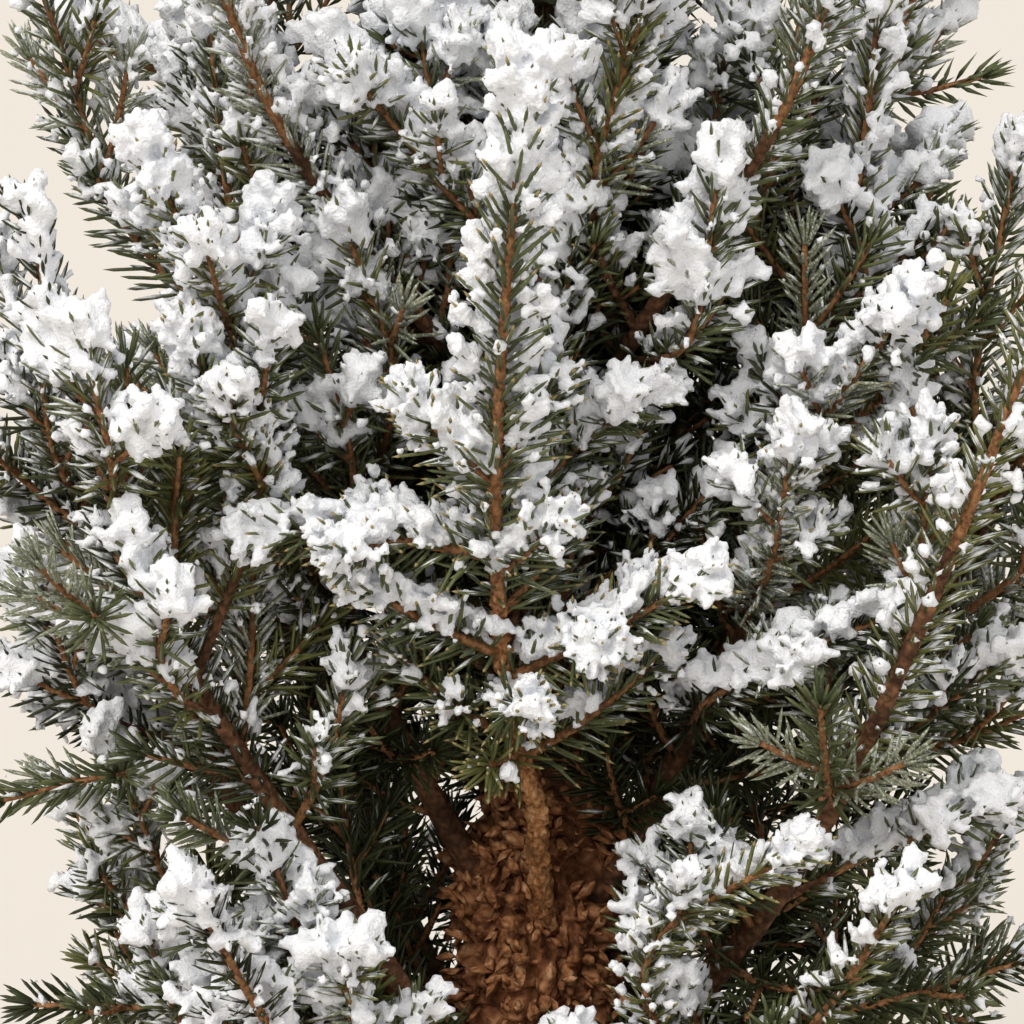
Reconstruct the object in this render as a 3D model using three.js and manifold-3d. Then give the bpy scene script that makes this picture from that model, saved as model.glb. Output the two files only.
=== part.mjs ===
// A dwarf spruce in a plain clay pot, life size, in millimetres, with Z up.
// The origin is the centre of the pot's flat underside, and -Y is the plant's front.
// A short shaggy bole rises from the potting soil, and its stems fan up and out from low down.
// Each bough is one tapering limb, and each plume of foliage is one uneven solid around the
// far end of its bough. Snow lies on the plumes, and it is part of their outline.
import * as THREE from "three";
import { mergeVertices } from "three/addons/utils/BufferGeometryUtils.js";
import Module from "manifold-3d";

const wasm = await Module();
wasm.setup();

const GAP = 0.3;
const PLUME_GAP = 0.6;

const POT = {
  height: 186,
  baseRadius: 80,
  neckRadius: 106,
  rimRadius: 114,
  rimHeight: 30,
  lipRadius: 3,
  wall: 8,
  floor: 11,
  sides: 28,
};
const DRAIN = { count: 4, radius: 5, circle: 46, sides: 8 };
const SOIL = { level: 168, flatRadius: 48, dip: 5 };

const TRUNK = {
  tip: 770,
  boleRadius: 22.5,
  boleTop: 318,
  shoulder: 52,
  leaderRadius: 11,
  tipRadius: 2.4,
  flare: 15,
  flareHeight: 13,
  sway: 5,
  ridges: 1.3,
  sides: 10,
  steps: 18,
};

const LIMB = { sides: 6, steps: 3, bite: 0.9, tipShare: 0.6, reachIn: 14 };
const PLUME = { around: 8, along: 7, lobe: 0.16 };

// One tier of boughs: where it leaves the trunk, how its boughs climb, and how full they are.
// Azimuths are degrees from the front, growing towards +X. Rises are degrees above level,
// at the trunk and at the tip. The plume is given as a share of the limb, and by its radius.
const TIERS = [
  {
    name: "skirt",
    count: 6,
    height: 192,
    climb: 2,
    firstAzimuth: 40,
    spacing: 56,
    riseAtTrunk: 30,
    riseAtTip: 60,
    length: 180,
    radius: 4.6,
    plumeFrom: 0.26,
    plumeRadius: 52,
  },
  {
    name: "outer",
    count: 7,
    height: 216,
    climb: 3,
    firstAzimuth: 46,
    spacing: 45,
    riseAtTrunk: 48,
    riseAtTip: 74,
    length: 318,
    radius: 8,
    plumeFrom: 0.36,
    plumeRadius: 62,
  },
  {
    name: "inner",
    count: 5,
    height: 286,
    climb: 3,
    firstAzimuth: -2,
    spacing: 72,
    riseAtTrunk: 56,
    riseAtTip: 86,
    length: 270,
    radius: 6.6,
    plumeFrom: 0.26,
    plumeRadius: 60,
  },
  {
    name: "upper",
    count: 5,
    height: 424,
    climb: 6,
    firstAzimuth: 34,
    spacing: 72,
    riseAtTrunk: 36,
    riseAtTip: 76,
    length: 224,
    radius: 4.6,
    plumeFrom: 0.24,
    plumeRadius: 58,
  },
  {
    name: "high",
    count: 4,
    height: 548,
    climb: 5,
    firstAzimuth: 8,
    spacing: 90,
    riseAtTrunk: 40,
    riseAtTip: 80,
    length: 176,
    radius: 3.4,
    plumeFrom: 0.2,
    plumeRadius: 50,
  },
];
const JITTER = { azimuth: 4, rise: 3, length: 0.06, plume: 0.08 };
const TOP_PLUME = { from: 612, to: 804, radius: 44 };

const COLOURS = {
  pot: "#b4684a",
  soil: "#3b2a20",
  bark: "#6b3f2a",
  foliage: "#5c6b57",
};

// Material of one kind of surface.
const finish = (color, roughness) =>
  new THREE.MeshStandardMaterial({ color, roughness, metalness: 0 });
const MATERIALS = {
  pot: finish(COLOURS.pot, 0.85),
  soil: finish(COLOURS.soil, 0.95),
  bark: finish(COLOURS.bark, 0.9),
  foliage: finish(COLOURS.foliage, 0.8),
};

// An even spread of values from -1 to 1, the same ones on every run.
const GOLDEN = (Math.sqrt(5) - 1) / 2;
const spread = (n) => 2 * ((n * GOLDEN) % 1) - 1;
const smooth = (x, low, high) => THREE.MathUtils.smoothstep(x, low, high);
const { lerp, degToRad } = THREE.MathUtils;

// Solid of a closed geometry, and back again.
function toSolid(geometry) {
  const bare = geometry.clone();
  bare.deleteAttribute("normal");
  bare.deleteAttribute("uv");
  const merged = mergeVertices(bare, 1e-3);
  return new wasm.Manifold(
    new wasm.Mesh({
      numProp: 3,
      vertProperties: new Float32Array(merged.attributes.position.array),
      triVerts: new Uint32Array(merged.index.array),
    }),
  );
}

function toGeometry(solid) {
  const mesh = solid.getMesh();
  const geometry = new THREE.BufferGeometry();
  geometry.setAttribute(
    "position",
    new THREE.BufferAttribute(new Float32Array(mesh.vertProperties), 3),
  );
  geometry.setIndex(new THREE.BufferAttribute(new Uint32Array(mesh.triVerts), 1));
  return geometry;
}

const largest = (solid) =>
  solid.decompose().reduce((a, b) => (b.volume() > a.volume() ? b : a));

// Moves each vertex of a geometry by a rule.
function reshape(geometry, rule) {
  const at = geometry.attributes.position;
  const v = new THREE.Vector3();
  for (let i = 0; i < at.count; i++) {
    rule(v.fromBufferAttribute(at, i));
    at.setXYZ(i, v.x, v.y, v.z);
  }
  return geometry;
}

// The trunk's centre line and its radius, by height above the pot's underside.
function trunkAxis(z) {
  const h = (z - SOIL.level) / (TRUNK.tip - SOIL.level);
  return new THREE.Vector3(
    TRUNK.sway * Math.sin(Math.PI * 2 * h),
    TRUNK.sway * Math.sin(Math.PI * 1.5 * h),
    z,
  );
}

function trunkRadius(z) {
  const up = (z - TRUNK.boleTop) / (TRUNK.tip - TRUNK.boleTop);
  const leader = lerp(TRUNK.leaderRadius, TRUNK.tipRadius, THREE.MathUtils.clamp(up, 0, 1));
  const bole = 1 - smooth(z, TRUNK.boleTop - TRUNK.shoulder / 2, TRUNK.boleTop + TRUNK.shoulder / 2);
  const flare = TRUNK.flare * Math.exp(-(z - SOIL.level) / TRUNK.flareHeight);
  return lerp(leader, TRUNK.boleRadius, bole) + flare;
}

// The trunk is a stack of level rings from its flat cut at the soil to its tip.
function trunkGeometry(grown = 0) {
  const shape = new THREE.CylinderGeometry(1, 1, 1, TRUNK.sides, TRUNK.steps);
  shape.rotateX(Math.PI / 2);
  return reshape(shape, (v) => {
    const z = lerp(SOIL.level + GAP - grown, TRUNK.tip + grown, v.z + 0.5);
    const angle = Math.atan2(v.y, v.x);
    const ridge = TRUNK.ridges * Math.sin(5 * angle + z / 30) * Math.min(1, trunkRadius(z) / 20);
    const r = Math.hypot(v.x, v.y) * (trunkRadius(z) + ridge + grown);
    const axis = trunkAxis(z);
    v.set(axis.x + r * Math.cos(angle), axis.y + r * Math.sin(angle), z);
  });
}

// A limb climbs along an arc whose rise above level changes evenly from the trunk to its tip.
class Limb extends THREE.Curve {
  constructor(start, azimuth, riseAtTrunk, riseAtTip, length) {
    super();
    this.start = start;
    this.out = new THREE.Vector3(Math.sin(azimuth), -Math.cos(azimuth), 0);
    this.side = new THREE.Vector3(Math.cos(azimuth), Math.sin(azimuth), 0);
    this.rise0 = riseAtTrunk;
    this.rise1 = riseAtTip;
    this.length = length;
  }
  rise(t) {
    return lerp(this.rise0, this.rise1, t);
  }
  getPoint(t, target = new THREE.Vector3()) {
    const bend = this.length / (this.rise1 - this.rise0);
    return target
      .copy(this.start)
      .addScaledVector(this.out, bend * (Math.sin(this.rise(t)) - Math.sin(this.rise0)))
      .setZ(this.start.z + bend * (Math.cos(this.rise0) - Math.cos(this.rise(t))));
  }
  along(t) {
    return new THREE.Vector3()
      .addScaledVector(this.out, Math.cos(this.rise(t)))
      .setZ(Math.sin(this.rise(t)));
  }
}

function boughsOf(tier, tierIndex) {
  return Array.from({ length: tier.count }, (_, k) => {
    const n = 7 * tierIndex + k + 1;
    const azimuth = degToRad(tier.firstAzimuth + k * tier.spacing + JITTER.azimuth * spread(n));
    const height = tier.height + tier.climb * spread(n + 3);
    const start = trunkAxis(height);
    const inset = trunkRadius(height) - LIMB.bite * tier.radius;
    start.x += Math.sin(azimuth) * inset;
    start.y -= Math.cos(azimuth) * inset;
    const limb = new Limb(
      start,
      azimuth,
      degToRad(tier.riseAtTrunk + JITTER.rise * spread(n + 5)),
      degToRad(tier.riseAtTip + JITTER.rise * spread(n + 8)),
      tier.length * (1 + JITTER.length * spread(n + 13)),
    );
    return {
      limb,
      label: `${tier.name}_${k + 1}`,
      radius: tier.radius,
      plumeFrom: tier.plumeFrom,
      plumeRadius: tier.plumeRadius * (1 + JITTER.plume * spread(n + 21)),
      seed: n,
    };
  });
}

// The bare part of a bough: from inside the trunk to a little way into its plume.
function boughGeometry(bough, grown = 0) {
  const { limb, radius, plumeFrom } = bough;
  const end = plumeFrom + (LIMB.reachIn + grown) / limb.length;
  const shape = new THREE.CylinderGeometry(1, 1, 1, LIMB.sides, LIMB.steps);
  return reshape(shape, (v) => {
    const t = (v.y + 0.5) * end;
    const along = limb.along(t);
    const across = new THREE.Vector3().crossVectors(limb.side, along);
    const r = radius * lerp(1, LIMB.tipShare, t / end) + grown;
    const { x, z } = v;
    limb.getPoint(t, v);
    v.addScaledVector(limb.side, x * r).addScaledVector(across, z * r);
  });
}

// Uneven lobes round a plume.
function lobes(angle, s, seed) {
  const turn = seed * 2.4;
  return (
    1 +
    PLUME.lobe * Math.sin(3 * angle + 5 * s + turn) +
    0.6 * PLUME.lobe * Math.sin(5 * angle - 9 * s + 2 * turn) +
    0.4 * PLUME.lobe * Math.sin(2 * angle + 14 * s + 3 * turn)
  );
}

// A plume is fullest near its foot and narrows to its tip, like the side shoots on one limb.
function plumeGeometry(place, radius, seed, grown = 0) {
  const shape = new THREE.SphereGeometry(1, PLUME.around, PLUME.along);
  return reshape(shape, (v) => {
    const ring = Math.hypot(v.x, v.z);
    const angle = Math.atan2(v.z, v.x);
    const s = (1 - v.y) / 2;
    const full = Math.pow(ring, 0.8) * (1.08 - 0.55 * s);
    const r = ring > 1e-6 ? radius * full * lobes(angle, s, seed) + grown * ring : 0;
    const { centre, side, across } = place(s, v.y * grown);
    v.copy(centre)
      .addScaledVector(side, r * Math.cos(angle))
      .addScaledVector(across, r * Math.sin(angle));
  });
}

// Where a bough's plume lies: along the far part of its limb.
function plumePlace({ limb, plumeFrom }) {
  return (s, past) => {
    const t = lerp(plumeFrom, 1, s);
    const along = limb.along(t);
    return {
      centre: limb.getPoint(t).addScaledVector(along, -past),
      side: limb.side.clone().negate(),
      across: new THREE.Vector3().crossVectors(limb.side, along),
    };
  };
}

// Where the top plume lies: round the trunk's tip.
const topPlace = (s, past) => {
  const z = lerp(TOP_PLUME.from, TOP_PLUME.to, s);
  const centre = trunkAxis(Math.min(z, TRUNK.tip)).setZ(z - past);
  return { centre, side: new THREE.Vector3(-1, 0, 0), across: new THREE.Vector3(0, -1, 0) };
};

// Pot: tapered wall, plain band at the rim, flat underside with drain holes round its centre.
function potInnerRadius(z) {
  return lerp(POT.baseRadius, POT.neckRadius, z / POT.height) - POT.wall;
}

function potSolid() {
  const { height, baseRadius, neckRadius, rimRadius, rimHeight, lipRadius, floor } = POT;
  const bandFoot = height - rimHeight;
  const neck = lerp(baseRadius, neckRadius, bandFoot / height);
  const lip = [0, 1, 2].map((i) => {
    const a = (i * Math.PI) / 4;
    return [rimRadius - lipRadius * (1 - Math.cos(a)), height - lipRadius * (1 - Math.sin(a))];
  });
  const profile = [
    [0, 0],
    [baseRadius - 2, 0],
    [baseRadius, 2],
    [neck, bandFoot - 4],
    [rimRadius - 2, bandFoot],
    ...lip,
    [potInnerRadius(height), height],
    [potInnerRadius(floor), floor],
    [0, floor],
  ].map(([r, z]) => new THREE.Vector2(r, z));
  const body = new THREE.LatheGeometry(profile, POT.sides).rotateX(Math.PI / 2);
  let pot = toSolid(body);
  for (let k = 0; k < DRAIN.count; k++) {
    const angle = ((k + 0.5) * 2 * Math.PI) / DRAIN.count;
    const hole = new THREE.CylinderGeometry(DRAIN.radius, DRAIN.radius, 3 * floor, DRAIN.sides);
    hole.rotateX(Math.PI / 2);
    hole.translate(DRAIN.circle * Math.cos(angle), DRAIN.circle * Math.sin(angle), 0);
    pot = pot.subtract(toSolid(hole));
  }
  return pot;
}

function soilGeometry() {
  const foot = POT.floor + GAP;
  const edge = SOIL.level - SOIL.dip;
  const profile = [
    [0, foot],
    [potInnerRadius(foot) - GAP, foot],
    [potInnerRadius(edge) - GAP, edge],
    [SOIL.flatRadius, SOIL.level],
    [0, SOIL.level],
  ].map(([r, z]) => new THREE.Vector2(r, z));
  return new THREE.LatheGeometry(profile, POT.sides).rotateX(Math.PI / 2);
}

const plant = new THREE.Group();
function addPiece(name, geometry, material) {
  const mesh = new THREE.Mesh(geometry, material);
  mesh.name = name;
  plant.add(mesh);
}

addPiece("clay_pot", toGeometry(potSolid()), MATERIALS.pot);
addPiece("potting_soil", soilGeometry(), MATERIALS.soil);
addPiece("trunk", trunkGeometry(), MATERIALS.bark);

// Boughs are cut off at the bark, and plumes round the trunk, the boughs and each other.
const boughs = TIERS.flatMap(boughsOf);
const trunkRoom = toSolid(trunkGeometry(GAP));
const boughRoom = boughs.map((bough) => toSolid(boughGeometry(bough, GAP)));
for (const bough of boughs) {
  const solid = largest(toSolid(boughGeometry(bough)).subtract(trunkRoom));
  addPiece(`bough_${bough.label}`, toGeometry(solid), MATERIALS.bark);
}

const plumes = boughs.map((bough) => ({
  name: `foliage_${bough.label}`,
  shape: (grown) => plumeGeometry(plumePlace(bough), bough.plumeRadius, bough.seed, grown),
}));
plumes.push({
  name: "foliage_top",
  shape: (grown) => plumeGeometry(topPlace, TOP_PLUME.radius, 5, grown),
});

let taken = trunkRoom;
for (const room of boughRoom) taken = taken.add(room);
for (const plume of plumes) {
  const solid = largest(toSolid(plume.shape(0)).subtract(taken));
  addPiece(plume.name, toGeometry(solid), MATERIALS.foliage);
  taken = taken.add(toSolid(plume.shape(PLUME_GAP)));
}

export default plant;
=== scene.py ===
import logging
import math
from dataclasses import dataclass, fields, replace
from enum import Enum
from typing import Any, Callable, Iterable, Self

import bmesh
import bpy
import numpy as np
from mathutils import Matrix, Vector


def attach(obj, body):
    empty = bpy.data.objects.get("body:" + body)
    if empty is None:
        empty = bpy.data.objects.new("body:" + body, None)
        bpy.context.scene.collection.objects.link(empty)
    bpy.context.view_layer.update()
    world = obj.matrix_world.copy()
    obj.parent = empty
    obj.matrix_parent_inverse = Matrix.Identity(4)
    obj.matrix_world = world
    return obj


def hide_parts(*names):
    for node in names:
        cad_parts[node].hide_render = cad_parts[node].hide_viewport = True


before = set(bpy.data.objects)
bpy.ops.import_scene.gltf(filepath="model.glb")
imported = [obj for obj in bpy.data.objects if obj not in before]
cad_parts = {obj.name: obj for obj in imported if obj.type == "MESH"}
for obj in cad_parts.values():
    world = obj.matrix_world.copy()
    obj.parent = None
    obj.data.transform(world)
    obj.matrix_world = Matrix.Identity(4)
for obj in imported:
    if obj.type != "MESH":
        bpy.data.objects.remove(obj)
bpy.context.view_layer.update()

MM = 0.001
UP = np.array([0.0, 0.0, 1.0])
GOLDEN_SHARE = (math.sqrt(5) - 1) / 2
GOLDEN_ANGLE = 2 * math.pi * (1 - GOLDEN_SHARE)
LOG = logging.getLogger("dwarf_spruce")
# Steady ways that no shoot or needle runs along, to set its sides by
ASKEW_UP = np.array([0.31, 0.2, 0.93])
ASKEW_BACK = np.array([0.2, 0.9, 0.4])

Array = np.ndarray
Piece = bpy.types.Object
Material = bpy.types.Material
Socket = bpy.types.NodeSocket
Mesh = bmesh.types.BMesh
Triple = tuple[float, float, float]


class Detail(Enum):
    """How finely a shoot is modelled, by how close it stands to the front of the plant."""

    NEAR = "near"
    MID = "mid"
    FAR = "far"


class Shade(Enum):
    """The tints that needles are dealt out in, a whole spray at a time."""

    # Deep: a dark tint dealt at random outside the crown, and as painted shade to sprays inside it
    DEEP = "deep"
    BLUE = "blue"
    MOSS = "moss"
    FROSTED = "frosted"


def spread(n: float) -> float:
    """An even spread of values from -1 to 1, as the plant's limbs use."""
    return 2 * ((n * GOLDEN_SHARE) % 1) - 1


def smooth(x: Array | float, low: float, high: float) -> Array | float:
    """Eases from 0 at low to 1 at high."""
    t = np.clip((np.asarray(x, float) - low) / (high - low), 0, 1)
    return t * t * (3 - 2 * t)


def lerp(a: Any, b: Any, t: Any) -> Any:
    """The value a share t of the way from a to b."""
    return a + (b - a) * t


def unit(v: Array) -> Array:
    """Vectors scaled to a length of one, along their last axis."""
    return v / np.maximum(np.linalg.norm(v, axis=-1, keepdims=True), 1e-12)


def turned(way: Array, towards: Array, angle: float) -> Array:
    """A way turned by an angle, in radians, towards another at right angles to it."""
    return way * math.cos(angle) + towards * math.sin(angle)


def out_at(angle: float) -> Array:
    """The level way at an angle from +X."""
    return np.array([math.cos(angle), math.sin(angle), 0.0])


def sides_of(way: Array, askew: Array) -> tuple[Array, Array]:
    """Two ways across each given way, at right angles to it and to each other."""
    side = unit(np.cross(way, unit(askew)))
    return side, np.cross(way, side)


def scramble(cell: Array, seed: int) -> Array:
    """A well mixed whole number for each cell of a lattice.

    Args:
        cell: (n, 3) whole numbers.
        seed: picks another mixture.

    Returns:
        (n,) whole numbers.
    """
    mixed = cell[:, 0] * 374761393 + cell[:, 1] * 668265263 + cell[:, 2] * 1442695041 + seed * 1274126177
    mixed = (mixed ^ (mixed >> 13)) * 1274126177
    return mixed ^ (mixed >> 16)


def lattice_noise(points: Array, seed: int = 0) -> Array:
    """Smooth noise that changes over one cell of a unit lattice.

    Args:
        points: (n, 3) places, in cells.
        seed: picks another field.

    Returns:
        (n,) values from -1 to 1.
    """
    cell = np.floor(points).astype(np.int64)
    part = points - cell
    part = part * part * (3 - 2 * part)
    total = np.zeros(len(points))
    for corner in np.ndindex(2, 2, 2):
        value = (scramble(cell + np.array(corner), seed) & 0xFFFFFF) / 0x7FFFFF - 1
        weight = np.prod(np.where(corner, part, 1 - part), axis=1)
        total += value * weight
    return total


def layered_noise(points: Array, size: float, layers: int, seed: int = 0) -> Array:
    """Noise with finer layers of half the size and half the strength laid over it.

    Args:
        points: (n, 3) places in metres.
        size: the coarsest layer's cell, in metres.
        layers: how many layers there are.
        seed: picks another field.

    Returns:
        (n,) values from about -1 to 1.
    """
    total = np.zeros(len(points))
    for k in range(layers):
        total += lattice_noise(points / size * 2**k, seed + k) / 2**k
    return total / (2 - 2 ** (1 - layers))


def cell_noise(points: Array, seed: int = 0) -> tuple[Array, Array]:
    """Rounded cells, about one to each cell of a unit lattice.

    Args:
        points: (n, 3) places, in cells.
        seed: picks another pattern.

    Returns:
        How far each point is from its cell's edge, and its cell's own value from 0 to 1.
    """
    home = np.floor(points).astype(np.int64)
    near = np.full(len(points), 9.0)
    next_near = np.full(len(points), 9.0)
    value = np.zeros(len(points))
    for corner in np.ndindex(3, 3, 3):
        at = home + np.array(corner) - 1
        mixed = scramble(at, seed)
        seat = at + np.stack([(mixed >> shift & 0xFF) / 255 for shift in (0, 8, 16)], -1)
        away = np.linalg.norm(points - seat, axis=1)
        nearer = away < near
        next_near = np.where(nearer, near, np.minimum(next_near, away))
        value = np.where(nearer, (mixed >> 24 & 0xFF) / 255, value)
        near = np.minimum(near, away)
    return next_near - near, value


def curve_through(points: list[Array], step: float = 5.0) -> Array:
    """A smooth curve through a few points.

    Args:
        points: the points, in millimetres.
        step: about how far apart the curve's own points are.

    Returns:
        (n, 3) points.
    """
    knots = np.array(points, float)
    marks = np.concatenate([[0], np.cumsum(np.linalg.norm(np.diff(knots, axis=0), axis=1))])
    slopes = np.gradient(knots, marks, axis=0)
    at = np.linspace(0, marks[-1], max(5, int(marks[-1] / step)))
    k = np.clip(np.searchsorted(marks, at, side="right") - 1, 0, len(knots) - 2)
    span = marks[k + 1] - marks[k]
    u = ((at - marks[k]) / span)[:, None]
    start, end = knots[k], knots[k + 1]
    out, into = slopes[k] * span[:, None], slopes[k + 1] * span[:, None]
    rise = u * u * (3 - 2 * u)
    return lerp(start, end, rise) + out * (u**3 - 2 * u * u + u) + into * (u**3 - u * u)


def link_object(name: str, data: Any) -> Piece:
    """A new object in the scene.

    Args:
        name: the object's name.
        data: its mesh, light or camera.

    Returns:
        The object.
    """
    piece = bpy.data.objects.new(name, data)
    bpy.context.scene.collection.objects.link(piece)
    return piece


def mesh_object(name: str, verts: Array, faces: Array) -> Piece:
    """A smooth-shaded object whose mesh is given as arrays.

    Args:
        name: the object's name.
        verts: (n, 3) points in metres.
        faces: (m, 3) indices into verts.

    Returns:
        The new object.
    """
    mesh = bpy.data.meshes.new(name)
    mesh.vertices.add(len(verts))
    mesh.vertices.foreach_set("co", np.ascontiguousarray(verts, np.float32).ravel())
    mesh.loops.add(faces.size)
    mesh.loops.foreach_set("vertex_index", np.ascontiguousarray(faces, np.int32).ravel())
    mesh.polygons.add(len(faces))
    mesh.polygons.foreach_set("loop_start", np.arange(0, faces.size, 3, dtype=np.int32))
    smooth_all(mesh)
    mesh.update(calc_edges=True)
    return link_object(name, mesh)


def smooth_all(mesh: bpy.types.Mesh) -> None:
    """Shades every face of a mesh smooth."""
    mesh.polygons.foreach_set("use_smooth", np.ones(len(mesh.polygons), bool))


def bmesh_object(name: str, bm: Mesh) -> Piece:
    """A smooth-shaded object made from a bmesh, which is freed.

    Args:
        name: the object's name.
        bm: the bmesh.

    Returns:
        The object.
    """
    mesh = bpy.data.meshes.new(name)
    bm.to_mesh(mesh)
    bm.free()
    smooth_all(mesh)
    return link_object(name, mesh)


def copies(verts: Array, faces: Array) -> tuple[Array, Array]:
    """The points and triangles of many small shapes that have the same faces.

    Args:
        verts: (copies, points, 3) places.
        faces: (m, 3) faces of one copy.

    Returns:
        (n, 3) places and (k, 3) faces.
    """
    count, points = verts.shape[:2]
    every = faces[None] + (np.arange(count) * points)[:, None, None]
    return verts.reshape(-1, 3), every.reshape(-1, 3)


def join_parts(name: str, parts: Iterable[tuple[Array, Array]]) -> Piece:
    """Joins meshes, each given as points in metres and triangles, into one object.

    Args:
        name: the object's name.
        parts: each mesh's points and triangles.

    Returns:
        The object.
    """
    verts, faces, start = [], [], 0
    for v, f in parts:
        verts.append(v)
        faces.append(f + start)
        start += len(v)
    return mesh_object(name, np.concatenate(verts), np.concatenate(faces))


def spun(section: list[tuple[float, float]], steps: int) -> Mesh:
    """A closed turned shape, from a section of radii and heights in millimetres.

    Args:
        section: the outline, from the axis back to the axis.
        steps: how many sides it has.

    Returns:
        The shape, as a bmesh.
    """
    bm = bmesh.new()
    verts = [bm.verts.new((r * MM, 0, z * MM)) for r, z in section]
    edges = [bm.edges.new(pair) for pair in zip(verts, verts[1:])]
    turn = {"cent": (0, 0, 0), "axis": (0, 0, 1), "angle": 2 * math.pi, "steps": steps}
    bmesh.ops.spin(bm, geom=verts + edges, use_merge=True, **turn)
    bmesh.ops.remove_doubles(bm, verts=bm.verts, dist=0.02 * MM)
    return bm


def apply_modifier(piece: Piece, kind: str, **settings: Any) -> None:
    """Puts one modifier on a piece and makes its result the piece's own mesh.

    Args:
        piece: the piece.
        kind: the modifier's type.
        settings: its properties.
    """
    modifier = piece.modifiers.new(kind.lower(), kind)
    for key, value in settings.items():
        setattr(modifier, key, value)
    graph = bpy.context.evaluated_depsgraph_get()
    mesh = bpy.data.meshes.new_from_object(piece.evaluated_get(graph))
    piece.modifiers.clear()
    old, piece.data = piece.data, mesh
    bpy.data.meshes.remove(old)
    mesh.name = piece.name


def finish_piece(piece: Piece, material: Material, nodes: Iterable[str] = ()) -> None:
    """Dresses a finished piece and ties it to the plant.

    Args:
        piece: the object.
        material: its material.
        nodes: the solids that it stands for.
    """
    piece.data.materials.clear()
    piece.data.materials.append(material)
    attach(piece, "root")
    if nodes:
        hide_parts(*nodes)
    LOG.info("%s: %d faces", piece.name, len(piece.data.polygons))


# Finishes


def linear(code: str) -> tuple[float, float, float, float]:
    """A colour given as sRGB hex, as the linear values that a shader takes.

    Args:
        code: six hex digits after a # sign.

    Returns:
        Red, green, blue and full opacity.
    """
    parts = [int(code[i : i + 2], 16) / 255 for i in (1, 3, 5)]
    r, g, b = (c / 12.92 if c <= 0.04045 else ((c + 0.055) / 1.055) ** 2.4 for c in parts)
    return r, g, b, 1.0


@dataclass(frozen=True)
class Finish:
    """What every finish has: a name, a roughness and how strongly its surface mirrors light."""

    name: str
    roughness: float = 0.6
    specular: float = 0.5


class Recipe:
    """The nodes of one material, from Object coordinates to its shader. Sizes are in millimetres."""

    def __init__(self, finish: Finish) -> None:
        """Starts the material that a finish describes.

        Args:
            finish: the finish, whose name, roughness and specular it takes.
        """
        self.material = bpy.data.materials.new(finish.name)
        self.material.use_nodes = True
        self.tree = self.material.node_tree
        self.shader = next(n for n in self.tree.nodes if n.type == "BSDF_PRINCIPLED")
        self.shader.inputs["Roughness"].default_value = finish.roughness
        self.shader.inputs["Specular IOR Level"].default_value = finish.specular
        self.place = self.add("TexCoord").outputs["Object"]

    def add(
        self,
        kind: str,
        settings: dict[str, Any] | None = None,
        values: dict[str | int, Any] | None = None,
        links: dict[str | int, Socket] | None = None,
    ) -> bpy.types.Node:
        """Adds one node.

        Args:
            kind: the node's type, without the word that all shader nodes begin with.
            settings: properties of the node itself.
            values: input sockets' names and their values.
            links: input sockets' names and the outputs that feed them.

        Returns:
            The new node.
        """
        node = self.tree.nodes.new(f"ShaderNode{kind}")
        for key, value in (settings or {}).items():
            setattr(node, key, value)
        for key, value in (values or {}).items():
            node.inputs[key].default_value = value
        for key, source in (links or {}).items():
            self.tree.links.new(source, node.inputs[key])
        return node

    def noise(self, size: float, detail: float = 3) -> Socket:
        """A noise whose blotches are about the given size across."""
        values = {"Scale": 1 / (size * MM), "Detail": detail}
        return self.add("TexNoise", values=values, links={"Vector": self.place}).outputs["Fac"]

    def math(self, operation: str, *terms: Socket | float, clamp: bool = False) -> Socket:
        """The result of one sum on sockets and numbers.

        Args:
            operation: the sum's name.
            terms: what it is done on.
            clamp: whether to keep the result from 0 to 1.

        Returns:
            The output.
        """
        parts = dict(enumerate(terms))
        values = {k: term for k, term in parts.items() if isinstance(term, float)}
        links = {k: term for k, term in parts.items() if k not in values}
        settings = {"operation": operation, "use_clamp": clamp}
        return self.add("Math", settings, values, links).outputs["Value"]

    def ramp(self, source: Socket, *stops: tuple[float, str]) -> Socket:
        """Colours laid along a value, each given as a place from 0 to 1 and an sRGB hex code.

        Args:
            source: the value.
            stops: the places and their colours, in order.

        Returns:
            The colour's output.
        """
        node = self.add("ValToRGB", links={"Fac": source})
        band = node.color_ramp
        for element, (place, code) in zip(band.elements, (stops[0], stops[-1])):
            element.position, element.color = place, linear(code)
        for place, code in stops[1:-1]:
            band.elements.new(place).color = linear(code)
        return node.outputs["Color"]

    def over(self, cover: Socket, colour: Socket, code: str) -> Socket:
        """A colour with an even one laid over it where cover is light."""
        values, links = {"B": linear(code)}, {"Factor": cover, "A": colour}
        return self.add("Mix", {"data_type": "RGBA"}, values, links).outputs["Result"]

    def bump(self, height: Socket, depth: float) -> None:
        """Raises the surface by up to depth where height is 1.

        Args:
            height: the height, from 0 to 1.
            depth: the most that it stands out, in millimetres.
        """
        values = {"Strength": 1.0, "Distance": depth * MM}
        normal = self.add("Bump", values=values, links={"Height": height}).outputs["Normal"]
        self.tree.links.new(normal, self.shader.inputs["Normal"])

    def painted(self, colour: Socket | str) -> Material:
        """The material, with its colour from a socket or from an sRGB hex code.

        Args:
            colour: the socket or the code.

        Returns:
            The finished material.
        """
        base = self.shader.inputs["Base Color"]
        if isinstance(colour, str):
            base.default_value = linear(colour)
        else:
            self.tree.links.new(colour, base)
        return self.material


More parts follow.
